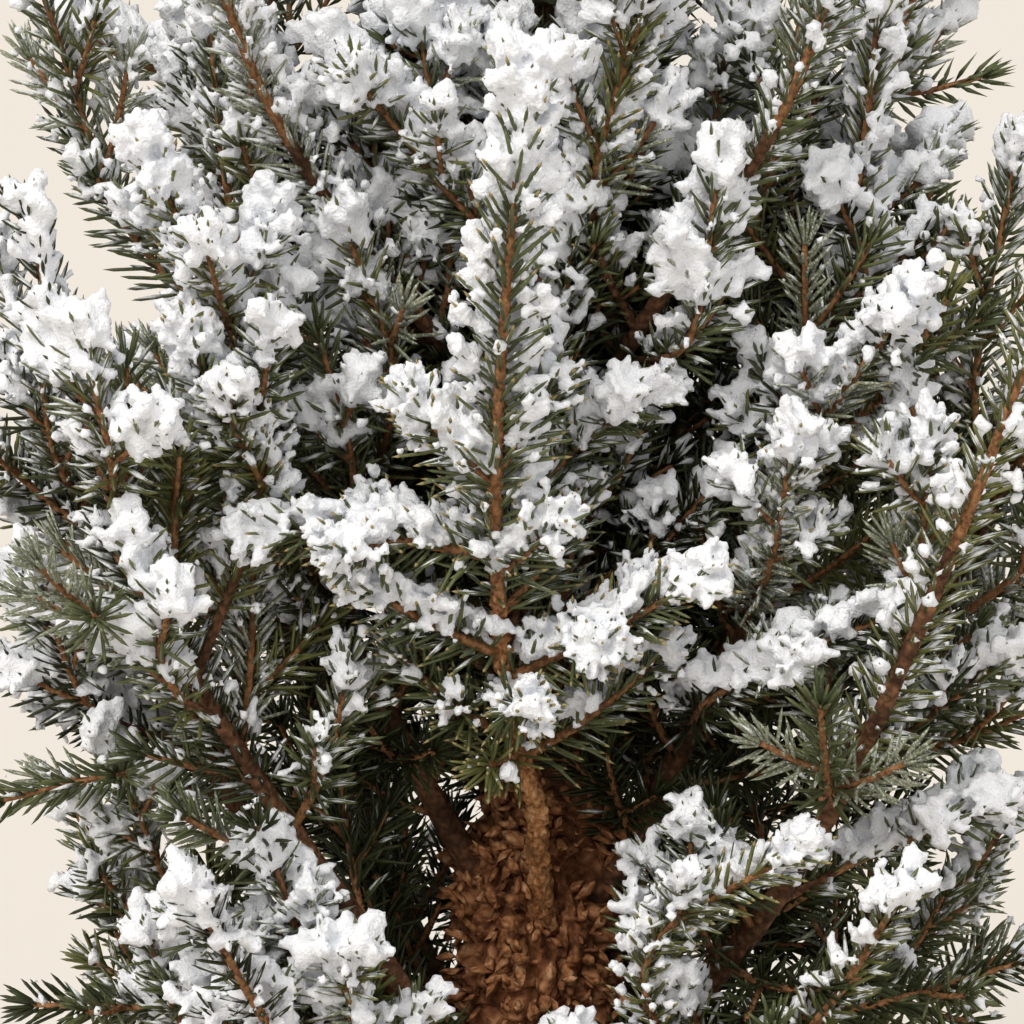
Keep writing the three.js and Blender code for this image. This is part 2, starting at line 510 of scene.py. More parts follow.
@dataclass(frozen=True)
class NeedleFinish(Finish):
    """Waxy spruce needle: a soft sheen over blue-green, with pale frost grains of under a millimetre."""

    low: str = "#33452f"
    high: str = "#4c6044"
    frost: float = 0.7
    frost_colour: str = "#cdd3cb"
    mottle_mm: float = 9.0
    grain_mm: float = 0.8

    def material(self) -> Material:
        """The needle material: mottled green, whitened where the frost grains lie.

        Returns:
            The material.
        """
        recipe = Recipe(self)
        green = recipe.ramp(recipe.noise(self.mottle_mm, 2), (0.35, self.low), (0.65, self.high))
        clear, full = (self.frost, "#000000"), (min(1.0, self.frost + 0.16), "#ffffff")
        cover = recipe.ramp(recipe.noise(self.grain_mm, 2), clear, full)
        return recipe.painted(recipe.over(cover, green, self.frost_colour))


@dataclass(frozen=True)
class TwigFinish(Finish):
    """Year-old spruce bark: thin, orange-brown and matt, ribbed along the shoot by the needles' pegs."""

    dark: str = "#6c472d"
    light: str = "#ae7f55"
    streak_mm: float = 1.6
    depth_mm: float = 0.5

    def material(self) -> Material:
        """The young bark: orange-brown streaks with a fine ribbing.

        Returns:
            The material.
        """
        recipe = Recipe(self)
        streaks = recipe.noise(self.streak_mm, 4)
        recipe.bump(streaks, self.depth_mm)
        return recipe.painted(recipe.ramp(streaks, (0.35, self.dark), (0.68, self.light)))


@dataclass(frozen=True)
class BarkFinish(Finish):
    """Old spruce bark: thin scales that curl away from each other, dull and dark between them."""

    crevice: str = "#231811"
    scale: str = "#4d3729"
    edge: str = "#7d5a43"
    scale_mm: float = 3.5
    depth_mm: float = 0.8
    patch_mm: float = 14.0

    def material(self) -> Material:
        """The old bark: cracked scales, with redder and greyer patches over them.

        Returns:
            The material.
        """
        recipe = Recipe(self)
        values, links = {"Scale": 1 / (self.scale_mm * MM)}, {"Vector": recipe.place}
        cracks = recipe.add("TexVoronoi", {"feature": "DISTANCE_TO_EDGE"}, values, links).outputs["Distance"]
        height = recipe.math("ADD", cracks, recipe.noise(self.scale_mm * 0.6, 6), clamp=True)
        recipe.bump(height, self.depth_mm)
        patches = recipe.math("MULTIPLY", height, recipe.noise(self.patch_mm))
        colour = recipe.ramp(patches, (0.12, self.crevice), (0.34, self.scale), (0.6, self.edge))
        return recipe.painted(colour)


@dataclass(frozen=True)
class SnowFinish(Finish):
    """Dry powdery snow: grains of under a millimetre that scatter light, so its shade stays pale and cool."""

    colour: str = "#f3f6fc"
    grain_mm: float = 0.9
    depth_mm: float = 0.7

    def material(self) -> Material:
        """The snow: even white with a fine grain.

        Returns:
            The material.
        """
        recipe = Recipe(self)
        recipe.bump(recipe.noise(self.grain_mm), self.depth_mm)
        return recipe.painted(self.colour)


@dataclass(frozen=True)
class ClayFinish(Finish):
    """Unglazed fired clay: dry and chalky, with turning lines, darker damp patches and pale lime bloom."""

    clay: str = "#a85f42"
    light: str = "#bd7856"
    bloom: str = "#cfae97"
    mottle_mm: float = 30.0
    bloom_mm: float = 70.0
    grit_mm: float = 1.2
    line_mm: float = 3.0
    line_share: float = 0.35
    depth_mm: float = 0.35

    def material(self) -> Material:
        """The pot: mottled clay, lime bloom in soft patches, and fine level turning lines.

        Returns:
            The material.
        """
        recipe = Recipe(self)
        clay = recipe.ramp(recipe.noise(self.mottle_mm, 5), (0.3, self.clay), (0.7, self.light))
        cover = recipe.ramp(recipe.noise(self.bloom_mm, 7), (0.52, "#000000"), (0.78, "#9a9a9a"))
        # A wave's bands are about a third of its scale apart
        values = {"Scale": 0.32 / (self.line_mm * MM), "Distortion": 1.5, "Detail": 2.0}
        waves = recipe.add("TexWave", {"bands_direction": "Z"}, values, {"Vector": recipe.place})
        grit = recipe.noise(self.grit_mm)
        recipe.bump(recipe.math("MULTIPLY_ADD", waves.outputs["Fac"], self.line_share, grit), self.depth_mm)
        return recipe.painted(recipe.over(cover, clay, self.bloom))


@dataclass(frozen=True)
class CompostFinish(Finish):
    """Moist peaty compost: dark crumbs, with a few pale fibres and bits of bark among them."""

    dark: str = "#1d130d"
    brown: str = "#3d2a1d"
    fibre: str = "#6d5138"
    crumb_mm: float = 4.0
    depth_mm: float = 1.5

    def material(self) -> Material:
        """The compost: dark brown crumbs a few millimetres across.

        Returns:
            The material.
        """
        recipe = Recipe(self)
        crumbs = recipe.noise(self.crumb_mm, 6)
        recipe.bump(crumbs, self.depth_mm)
        return recipe.painted(recipe.ramp(crumbs, (0.35, self.dark), (0.6, self.brown), (0.78, self.fibre)))


@dataclass(frozen=True)
class PlainFinish(Finish):
    """One even colour, for dry needle points and painted studio board."""

    colour: str = "#ece7de"

    def material(self) -> Material:
        """A plain even colour."""
        return Recipe(self).painted(self.colour)


NEEDLES = {
    # The deep tint also serves as painted shade for the sprays inside the crown
    Shade.DEEP: NeedleFinish("spruce_needle_deep", 0.55, 0.3, "#262c15", "#3d4425", 0.8),
    Shade.BLUE: NeedleFinish("spruce_needle_blue", 0.5, 0.4, "#444d2f", "#656c44", 0.66),
    Shade.MOSS: NeedleFinish("spruce_needle_moss", 0.5, 0.4, "#4e532a", "#737543", 0.7),
    Shade.FROSTED: NeedleFinish("spruce_needle_frosted", 0.6, 0.35, "#6b7156", "#90947b", 0.5),
}
NEEDLE_TIPS = PlainFinish("dry_needle_point", 0.5, 0.4, "#9a8a5c")
YOUNG_BARK = TwigFinish("young_spruce_bark", 0.75, 0.25)
OLD_BARK = BarkFinish("old_spruce_bark", 0.85, 0.2, "#2f1f14", "#684833", "#9a6e50")
STEM_BARK = BarkFinish("flaking_stem_bark", 0.85, 0.2, "#4f3220", "#b37d4e", "#dfb084", 3.0, 1.0)
BOLE_BARK = BarkFinish("shaggy_spruce_bark", 0.9, 0.15, "#2c190f", "#8f5d3e", "#cf9a70", 5.0, 1.6)
LOOSE_BARK = BarkFinish("loose_bark_scales", 0.9, 0.15, "#482a19", "#b57d54", "#e6ba90", 4.0, 1.2)
DUST = SnowFinish("snow_dust", 0.8, 0.3, "#e6eaec", 0.9)
SNOW = SnowFinish("powder_snow", 0.7, 0.3)
CLAY = ClayFinish("unglazed_fired_clay", 0.88, 0.25)
COMPOST = CompostFinish("moist_compost", 0.9, 0.2)


# Trunk and limbs

# A scale of loose bark: its rim, then the middles of its two faces, across, out and along
CHIP_RIM = [(0, 0, -1), (0.5, 0.05, -0.35), (-0.45, 0.05, -0.2)]
CHIP_RIM += [(0.4, 0.12, 0.5), (-0.3, 0.14, 0.6), (0, 0.3, 1)]
CHIP_FACES = [(0, 0.32, 0.1), (0, -0.14, 0.1)]


@dataclass(frozen=True)
class TrunkLine:
    """The trunk's centre line and thickness, in millimetres above the pot's underside."""

    soil: float = 168.0
    tip: float = 770.0
    bole_radius: float = 22.5
    bole_top: float = 318.0
    shoulder: float = 52.0
    leader_radius: float = 11.0
    tip_radius: float = 2.4
    flare: float = 15.0
    flare_height: float = 13.0
    sway: float = 5.0

    def axis(self, z: Array | float) -> Array:
        """Points of the centre line at heights z.

        Args:
            z: heights in millimetres.

        Returns:
            (n, 3) points in millimetres.
        """
        z = np.asarray(z, float)
        h = (z - self.soil) / (self.tip - self.soil)
        return np.stack([self.sway * np.sin(2 * math.pi * h), self.sway * np.sin(1.5 * math.pi * h), z], -1)

    def radius(self, z: Array | float) -> Array:
        """The trunk's radius at heights z.

        Args:
            z: heights in millimetres.

        Returns:
            The radii in millimetres.
        """
        z = np.asarray(z, float)
        up = np.clip((z - self.bole_top) / (self.tip - self.bole_top), 0, 1)
        leader = lerp(self.leader_radius, self.tip_radius, up)
        bole = 1 - smooth(z, self.bole_top - self.shoulder / 2, self.bole_top + self.shoulder / 2)
        flare = self.flare * np.exp(-(z - self.soil) / self.flare_height)
        return lerp(leader, self.bole_radius, bole) + flare


@dataclass(frozen=True)
class Tier:
    """One tier of boughs. Sizes are in millimetres, and angles in degrees."""

    name: str
    count: int
    height: float
    climb: float
    first_azimuth: float
    spacing: float
    rise_at_trunk: float
    rise_at_tip: float
    length: float
    radius: float
    plume_from: float
    plume_radius: float


TIERS = (
    Tier("skirt", 6, 192, 2, 40, 56, 30, 60, 180, 4.6, 0.26, 52),
    Tier("outer", 7, 216, 3, 46, 45, 48, 74, 318, 8.0, 0.36, 62),
    Tier("inner", 5, 286, 3, -2, 72, 56, 86, 270, 6.6, 0.26, 60),
    Tier("upper", 5, 424, 6, 34, 72, 36, 76, 224, 4.6, 0.24, 58),
    Tier("high", 4, 548, 5, 8, 90, 40, 80, 176, 3.4, 0.2, 50),
)
TRUNK = TrunkLine()
LIMB_BITE = 0.9
FRONT_BOUGH = "inner_1"
# How far some boughs' living stems stand to one side of the limb's even arc, in millimetres
STRAYS = {"outer_7": -26.0, "upper_1": 16.0, "upper_5": -11.0}


@dataclass
class Bough:
    """A limb that climbs along an arc, with the plume of foliage round its far part.

    Lengths are in millimetres, and t runs from 0 at the trunk to 1 at the tip.
    """

    tier: Tier
    index: int
    tier_index: int

    def __post_init__(self) -> None:
        """Works the limb's arc out from its tier and its place in it."""
        n = 7 * self.tier_index + self.index + 1
        tier = self.tier
        self.seed = n
        self.label = f"{tier.name}_{self.index + 1}"
        self.azimuth = math.radians(tier.first_azimuth + self.index * tier.spacing + 4 * spread(n))
        height = tier.height + tier.climb * spread(n + 3)
        self.out = np.array([math.sin(self.azimuth), -math.cos(self.azimuth), 0.0])
        self.side = np.array([math.cos(self.azimuth), math.sin(self.azimuth), 0.0])
        inset = TRUNK.radius(height) - LIMB_BITE * tier.radius
        self.start = TRUNK.axis(height) + self.out * inset
        self.rise0 = math.radians(tier.rise_at_trunk + 3 * spread(n + 5))
        self.rise1 = math.radians(tier.rise_at_tip + 3 * spread(n + 8))
        self.length = tier.length * (1 + 0.06 * spread(n + 13))
        self.plume_radius = tier.plume_radius * (1 + 0.08 * spread(n + 21))

    @property
    def is_front(self) -> bool:
        """Whether this is the bough in the middle of the plant's front."""
        return self.label == FRONT_BOUGH

    def point(self, t: Array | float) -> Array:
        """Points of the limb's centre line.

        Args:
            t: shares of the way from the trunk to the tip.

        Returns:
            The points in millimetres.
        """
        t = np.asarray(t, float)[..., None]
        bend = self.length / (self.rise1 - self.rise0)
        rise = lerp(self.rise0, self.rise1, t)
        run = bend * (np.sin(rise) - math.sin(self.rise0))
        climb = bend * (math.cos(self.rise0) - np.cos(rise))
        return self.start + self.out * run + UP * climb

    def line(self, t: Array | float) -> Array:
        """Points of the living stem, which strays a little from the limb's even arc.

        Args:
            t: shares of the way from the trunk to the tip.

        Returns:
            The points in millimetres.
        """
        t = np.asarray(t, float)[..., None]
        x = np.clip((t - 0.2) / 0.8, 0, 1)
        if self.is_front:
            return self.point(t[..., 0]) - self.side * 9 * np.sin(math.pi * x**0.75)
        if self.label in STRAYS:
            return self.point(t[..., 0]) + self.side * STRAYS[self.label] * smooth(t, 0.24, 0.7)
        turn = 2.4 * self.seed
        stray = 0.02 * self.length * (np.sin(2 * math.pi * x + turn) - math.sin(turn)) * (1 - x)
        return self.point(t[..., 0]) + self.side * stray

    def along(self, t: Array | float) -> Array:
        """Directions of the limb."""
        rise = lerp(self.rise0, self.rise1, np.asarray(t, float)[..., None])
        return self.out * np.cos(rise) + UP * np.sin(rise)

    def plume_reach(self, s: float) -> float:
        """How far the plume stands out from the limb, at a share s of its length."""
        ring = math.sqrt(max(0.0, 1 - (1 - 2 * s) ** 2))
        return self.plume_radius * ring**0.8 * (1.08 - 0.55 * s)

    def young_from(self) -> float:
        """Where on the limb its old bark gives way to young wood with needles."""
        return self.tier.plume_from + (0.22 if self.is_front else 0.34)

    def needles_from(self) -> float:
        """Where on the limb its own needles begin."""
        return self.young_from() - (0.02 if self.is_front else 0.26)

    def detail(self) -> Detail:
        """How finely the bough's shoots are modelled.

        Returns:
            The fineness.
        """
        if self.is_front:
            return Detail.NEAR
        faces_front = math.cos(self.azimuth) > -0.2
        return Detail.MID if faces_front and self.tier.name != "high" else Detail.FAR


BOUGHS = [Bough(tier, k, i) for i, tier in enumerate(TIERS) for k in range(tier.count)]
FRONT = next(bough for bough in BOUGHS if bough.is_front)
OTHER_BOUGHS = [bough for bough in BOUGHS if not bough.is_front]


@dataclass
class Bark:
    """The trunk's and boughs' bark, with its relief in the mesh."""

    bole_top: float = 352.0
    bole_sides: int = 150
    bole_ring: float = 1.1
    limb_sides: int = 14
    limb_ring: float = 4.0
    thin_from: float = 34.0
    chips: int = 1900
    chip_size: float = 4.6
    plate_mm: float = 8.5
    crumb_mm: float = 3.4
    scale_mm: float = 4.0
    tear_mm: float = 13.0
    tear_depth: float = 10.5
    burr_height: float = 3.5

    def tube(self, bm: Mesh, sides: int, rings: int, rule: Callable[[Array, Array], Array]) -> None:
        """Adds a closed tube whose points a rule places.

        Args:
            bm: the bmesh to add to.
            sides: how many sides it has.
            rings: how many bands it has along its length.
            rule: gives points in metres from angles and shares of the length.
        """
        verts = list(bmesh.ops.create_circle(bm, cap_ends=True, segments=sides, radius=1)["verts"])
        rim = list({e for v in verts for e in v.link_edges})
        for _ in range(rings):
            grown = bmesh.ops.extrude_edge_only(bm, edges=rim)["geom"]
            ring = {g for g in grown if isinstance(g, bmesh.types.BMVert)}
            rim = [g for g in grown if isinstance(g, bmesh.types.BMEdge) and ring.issuperset(g.verts)]
            bmesh.ops.translate(bm, verts=list(ring), vec=(0, 0, 1 / rings))
            verts += ring
        bmesh.ops.contextual_create(bm, geom=rim)
        co = np.array([v.co for v in verts])
        placed = rule(np.arctan2(co[:, 1], co[:, 0]), co[:, 2])
        for v, p in zip(verts, placed):
            v.co = p

    def bole_skin(self, angle: Array, z: Array) -> tuple[Array, Array]:
        """Points of the smooth bole and the ways out from it."""
        out = np.stack([np.cos(angle), np.sin(angle), np.zeros(len(z))], -1)
        return TRUNK.axis(z) + out * TRUNK.radius(z)[:, None], out

    def torn(self, core: Array) -> Array:
        """How far the bark is torn away at points of the smooth bole, from 0 to 1."""
        return smooth(layered_noise(core / np.array([1, 1, 1.9]) * MM, self.tear_mm * MM, 2, 8), 0.0, 0.3)

    def relief(self, core: Array, angle: Array) -> Array:
        """How far the bole's bark stands out, or falls back between its clumps.

        Args:
            core: points of the smooth bole, in millimetres.
            angle: where they are round it.

        Returns:
            The distances in millimetres.
        """
        low, z = TRUNK.soil, core[:, 2]
        s = (z - low) / (self.bole_top - low)
        edge, own = cell_noise(core / np.array([1, 1, 1.35]) / self.plate_mm, 4)
        crumb_edge, crumb_own = cell_noise(core / self.crumb_mm, 9)
        plates = smooth(edge, 0.02, 0.3) * (1.6 + 4.2 * own) - 2.4
        crumbs = smooth(crumb_edge, 0.0, 0.4) * (0.4 + 1.1 * crumb_own) - 0.6
        burr = self.burr_height * smooth(-np.cos(angle), -0.2, 1.0) * smooth(z, 330, 290)
        gaps = self.tear_depth * self.torn(core)
        fade = smooth(s, 1.0, 0.9) * smooth(s, 0.0, 0.02)
        return (plates + crumbs + burr - gaps) * fade + 1.3 * np.sin(5 * angle + z / 30) - 0.6

    def bole(self) -> Piece:
        """The short shaggy bole, from its flat cut at the soil to where its bark turns thin.

        Returns:
            The piece.
        """
        low = TRUNK.soil
        rings = int((self.bole_top - low) / self.bole_ring)

        def rule(angle: Array, s: Array) -> Array:
            """Points of the bole."""
            core, out = self.bole_skin(angle, lerp(low, self.bole_top, s))
            return (core + out * self.relief(core, angle)[:, None]) * MM

        bm = bmesh.new()
        self.tube(bm, self.bole_sides, rings, rule)
        return bmesh_object("bole_bark", bm)

    def flakes(self) -> Piece:
        """Curled scales of loose bark that stand off the bole.

        Returns:
            The piece.
        """
        rng = np.random.default_rng(41)
        angle = rng.uniform(0, 2 * math.pi, self.chips)
        z = rng.uniform(TRUNK.soil + 6, self.bole_top - 22, self.chips)
        core, out = self.bole_skin(angle, z)
        firm = self.torn(core) < 0.35
        angle, core, out = angle[firm], core[firm], out[firm]
        count = len(core)
        rise = UP * rng.uniform(-0.7, 1.1, count)[:, None]
        lean = unit(rise + out * rng.uniform(0.15, 0.9, count)[:, None] + rng.normal(0, 0.3, (count, 3)))
        across = unit(np.cross(lean, out))
        face = np.cross(across, lean)
        size = self.chip_size * rng.uniform(0.35, 1.0, count) ** 1.5 * 1.5
        sunk = self.relief(core, angle) - rng.uniform(0.3, 1.0, count)
        centre = core + out * sunk[:, None] + lean * (0.85 * size)[:, None]
        corners = np.array(CHIP_RIM + CHIP_FACES)
        jitter = rng.uniform(0.8, 1.2, (count, len(corners), 1))
        local = corners[None] * jitter * size[:, None, None]
        verts = (
            centre[:, None]
            + across[:, None] * local[..., :1]
            + face[:, None] * local[..., 1:2]
            + lean[:, None] * local[..., 2:]
        ) * MM
        rim = [0, 1, 3, 5, 4, 2]
        faces = []
        for a, b in zip(rim, rim[1:] + rim[:1]):
            faces += [[a, b, 6], [b, a, 7]]
        piece = mesh_object("bole_bark_flakes", *copies(verts, np.array(faces)))
        bm = bmesh.new()
        bm.from_mesh(piece.data)
        bmesh.ops.recalc_face_normals(bm, faces=bm.faces)
        bm.to_mesh(piece.data)
        bm.free()
        return piece

    def limb(self, bm: Mesh, bough: Bough, sides: int, ring: float, relief: Callable[[Array], Array]) -> None:
        """Adds one bough's bare part, from the trunk to where its young wood begins.

        Args:
            bm: the bmesh to add to.
            bough: the bough.
            sides: how many sides it has.
            ring: the length of one band of it, in millimetres.
            relief: gives how far its bark stands out at points.
        """
        end = bough.young_from()
        part = bmesh.new()

        def rule(angle: Array, s: Array) -> Array:
            """Points of the bare limb.

            Args:
                angle: where they are round the limb.
                s: shares of the bare part's length.

            Returns:
                (n, 3) points in metres.
            """
            t = s * end
            across = np.cross(bough.side, bough.along(t))
            out = bough.side * np.cos(angle)[:, None] + across * np.sin(angle)[:, None]
            core = bough.line(t) + out * limb_radius(bough, t)[:, None]
            return (core + out * relief(core)[:, None]) * MM

        self.tube(part, sides, max(8, int(bough.length * end / ring)), rule)
        mesh = bpy.data.meshes.new("limb")
        part.to_mesh(mesh)
        part.free()
        bm.from_mesh(mesh)
        bpy.data.meshes.remove(mesh)

    def limbs(self) -> Piece:
        """The trunk above its bole, and the bare part of every bough but the front one.

        Returns:
            The piece.
        """
        bm = bmesh.new()

        def scales(core: Array) -> Array:
            """How far thin scales stand out, as shares of their height."""
            return layered_noise(core * MM, self.scale_mm * MM, 3, 5)

        def leader(angle: Array, s: Array) -> Array:
            """Points of the trunk above its bole."""
            core, out = self.bole_skin(angle, lerp(self.bole_top - self.thin_from, TRUNK.tip, s))
            return (core + out * 0.7 * scales(core)[:, None]) * MM

        self.tube(bm, 2 * self.limb_sides, int((TRUNK.tip - self.bole_top) / self.limb_ring) + 1, leader)
        for bough in OTHER_BOUGHS:
            self.limb(bm, bough, self.limb_sides, self.limb_ring, lambda core: 0.55 * scales(core))
        return bmesh_object("bough_bark", bm)

    def front_stem(self) -> Piece:
        """The front bough's bare part, whose bark flakes like the bole's but is lighter.

        Returns:
            The piece.
        """
        bm = bmesh.new()

        def flaking(core: Array) -> Array:
            """How far the loose bark stands out."""
            edge, own = cell_noise(core / np.array([2.4, 2.4, 5.6]), 6)
            return smooth(edge, 0.02, 0.35) * (0.5 + 1.3 * own) - 0.8

        self.limb(bm, FRONT, 30, 0.8, flaking)
        return bmesh_object("front_stem_bark", bm)

    def build(self) -> None:
        """Builds and dresses the bark, which stands for the trunk and every bough."""
        finish_piece(self.bole(), BOLE_BARK.material(), ["trunk"])
        finish_piece(self.flakes(), LOOSE_BARK.material())
        boughs = [f"bough_{bough.label}" for bough in OTHER_BOUGHS]
        finish_piece(self.limbs(), OLD_BARK.material(), boughs)
        finish_piece(self.front_stem(), STEM_BARK.material(), [f"bough_{FRONT_BOUGH}"])


def limb_radius(bough: Bough, t: Array | float) -> Array:
    """A bough's radius in millimetres: full at the trunk, and a twig's at its tip."""
    foot = 5.6 if bough.is_front else bough.tier.radius
    return lerp(foot, 1.2, np.clip(np.asarray(t, float), 0, 1) ** 0.3)


# Shoots


@dataclass
class Shoot:
    """One length of young growth, with its needles and its load of snow. Lengths are in millimetres."""

    group: str
    label: str
    path: Array
    foot_radius: float
    tip_radius: float
    detail: Detail
    shade: Shade
    snow: float
    bare: float = 0.0
    seed: int = 0
    wood_from: float = 0.0
    needle: float = 13.0
    cover: float = 0.0
    cap_from: float = 0.1
    heaps: tuple[float, ...] = (1.0,)
    burden: float = 1.0
    parting: float = 0.0

    @property
    def length(self) -> float:
        """The shoot's length along its centre line."""
        return float(np.linalg.norm(np.diff(self.path, axis=0), axis=1).sum())

    def at(self, u: Array) -> tuple[Array, Array]:
        """Points and directions at shares u of the way along.

        Args:
            u: the shares.

        Returns:
            The points in millimetres, and the directions.
        """
        steps = np.linalg.norm(np.diff(self.path, axis=0), axis=1)
        marks = np.concatenate([[0], np.cumsum(steps)]) / steps.sum()
        place = np.stack([np.interp(u, marks, self.path[:, k]) for k in range(3)], -1)
        lines = unit(np.gradient(self.path, axis=0))
        line = np.stack([np.interp(u, marks, lines[:, k]) for k in range(3)], -1)
        return place, unit(line)


def grow_path(start: Array, heading: Array, length: float, lift: float, step: float = 6.0) -> Array:
    """The centre line of a shoot that turns up, or down, as it grows.

    Args:
        start: where it begins, in millimetres.
        heading: the direction it sets out in.
        length: its length.
        lift: how far it turns upwards over its whole length, in radians; below 0 it droops.
        step: the length of one piece of the line.

    Returns:
        (n, 3) points.
    """
    count = max(4, int(length / step))
    points = [start]
    way = unit(heading)
    for _ in range(count):
        level = unit(UP - way * (way @ UP))
        way = unit(way + level * lift / count)
        points.append(points[-1] + way * length / count)
    return np.array(points)


@dataclass(frozen=True)
class SideShoot:
    """A side shoot of the front bough, placed from what the plant's front shows."""

    at: float
    azimuth: float
    rise: float
    length: float
    lift: float
    snow: float
    offsets: tuple[float, ...] = ()


# Azimuths are degrees from the front towards the plant's right, and rises are above level
SIDES = (
    (0.52, -80, 16, 64, -0.25, 1.0, (0.3, 0.45)),
    (0.5, 52, 34, 24, 0.15, 1.0),
    (0.37, 66, 26, 64, 0.12, 1.0, (0.35, 0.5)),
    (0.34, 10, 2, 34, 0.2, 0.75),
    (0.4, -66, 24, 44, 0.15, 0.9, (0.4,)),
    (0.6, -76, 42, 32, 0.2, 1.0, (0.5,)),
    (0.27, -24, -4, 22, 0.2, 0.12),
    (0.28, -70, 30, 46, 0.3, 0.35, (0.35,)),
    (0.26, 74, 28, 50, 0.35, 0.55, (0.4,)),
    (0.62, 100, 50, 26, 0.2, 0.7),
    (0.45, 130, 34, 44, 0.3, 0.5),
    (0.5, 200, 40, 40, 0.3, 0.4),
    (0.33, 180, 30, 50, 0.3, 0.3),
)
FRONT_SHOOTS = [SideShoot(*row) for row in SIDES]


@dataclass(frozen=True)
class Spot:
    """A place that was given in millimetres, and not read off the front view."""

    x: float
    y: float
    z: float


@dataclass(frozen=True)
class FrontView:
    """The view from in front and a little above that the plant is read from. In millimetres."""

    aim: Triple = (-5.3, 0.0, 405.0)
    distance: float = 900.0
    lift: float = math.radians(10)
    mm_per_pixel: float = 0.296
    pixels: int = 1024

    def place(self, end: Triple | Spot) -> Array:
        """The place of a shoot's end.

        Args:
            end: a spot, or a reading: pixels across, pixels down, and how far the end
                was judged to stand behind the trunk's middle.

        Returns:
            The place, to the millimetre, since the readings are no finer.
        """
        if isinstance(end, Spot):
            return np.array([end.x, end.y, end.z], float)
        across, down, away = end
        sin, cos = math.sin(self.lift), math.cos(self.lift)
        right = (across - self.pixels / 2) * self.mm_per_pixel
        up = (self.pixels / 2 - down) * self.mm_per_pixel
        # How large a pixel is at the point, against one at the aim
        growth = (self.distance + away / cos) / (self.distance + up * sin / cos)
        height = (up * growth - away * sin) / cos
        return np.round([self.aim[0] + right * growth, away, self.aim[2] + height])


VIEW = FrontView()


@dataclass(frozen=True)
class ShownShoot:
    """A shoot that shows at the plant's front. Its ends are readings off the front view, or spots."""

    foot: Triple | Spot
    tip: Triple | Spot
    snow: float = 1.0
    sharp: bool = False
    limb: str = ""


# The shoots on the plant's left, from the outer top down and in
LEFT = (
    ((155, 262, -8), Spot(-138, -28, 562), 0.55),
    ((335, 312, -8), (196, -20, -26), 0.55),
    ((290, 200, -12), (264, 52, -20), 0.8),
    ((262, 470, -72), (150, 152, -88), 1.0, True),
    ((250, 460, -78), (186, 335, -92), 1.0, True, "inner_5"),
    ((228, 335, -66), (265, 222, -66), 1.0, False, "inner_5"),
    ((472, 218, -46), (335, 48, -60)),
    ((500, 215, -34), (476, -15, -40), 0.9),
    ((395, 385, -42), (345, 225, -58)),
    ((405, 330, -30), (388, 195, -40), 0.9),
    ((352, 460, -50), (318, 335, -62)),
    ((62, 475, 0), (34, 335, -12)),
    (Spot(-110, -100, 434), Spot(-116, -107, 469)),
    ((92, 705, -24), (36, 565, -40)),
    (Spot(-96, -90, 372), Spot(-104, -100, 414)),
    ((152, 850, -22), (108, 738, -36), 0.9),
    ((132, 772, -34), (2, 800, -44), 0.1),
    ((322, 965, -62), (268, 850, -78), 0.9),
    ((252, 1015, -56), (208, 905, -72), 0.8),
    ((192, 1045, -44), (148, 938, -58), 0.8),
    ((372, 1060, -72), (326, 955, -88)),
    ((292, 1085, -66), (250, 992, -82), 0.8),
    ((212, 1012, -44), (32, 1004, -56), 0.1),
    (Spot(-24, -30, 470), Spot(-29, -44, 517)),
    (Spot(-44, -24, 506), Spot(-38, -34, 552)),
    (Spot(-88, 0, 500), Spot(-96, -10, 548), 0.9),
    (Spot(-26, -36, 500), Spot(-31, -46, 552)),
)
# Those on its right, from the middle top down and out
RIGHT = (
    ((548, 472, -46), (572, 215, -56), 0.85),
    ((596, 248, -48), Spot(31, -66, 560), 1.0, True),
    ((640, 385, -14), (692, 182, -24), 0.6),
    ((572, 452, -52), (650, 395, -60)),
    ((650, 562, -34), (718, 480, -42), 0.9),
    ((736, 262, -22), (802, 8, -38), 0.5),
    ((862, 292, -28), (836, 188, -42)),
    ((822, 420, -52), (910, 305, -68), 1.0, True),
    ((792, 452, -36), (760, 365, -46), 0.9),
    ((770, 562, -52), (795, 442, -72), 1.0, True),
    ((905, 642, -60), (930, 442, -74), 1.0, True),
    ((930, 480, -50), (905, 385, -56)),
    ((976, 392, -18), (1016, 150, -32), 0.7),
    ((722, 694, -58), (895, 612, -68), 1.0, False, "inner_2"),
    ((902, 742, -34), (1012, 652, -44), 0.6),
    ((852, 864, -44), (1000, 802, -54)),
    ((650, 952, -80), (796, 852, -96), 1.0, True, "skirt_1"),
    ((692, 1012, -62), (650, 942, -74), 0.8),
    ((704, 932, -54), (690, 830, -66), 0.8),
    ((882, 1002, -34), (1026, 962, -44), 0.1),
    (Spot(26, -72, 248), Spot(13, -84, 270), 0.8),
    (Spot(49, -8, 458), Spot(50, -18, 506)),
    (Spot(14, -30, 500), Spot(13, -42, 548)),
    (Spot(50, -24, 512), Spot(56, -36, 556), 0.9),
    (Spot(42, -58, 461), Spot(50, -68, 511), 0.9),
)
SHOWN_SHOOTS = [ShownShoot(*row) for row in LEFT + RIGHT]


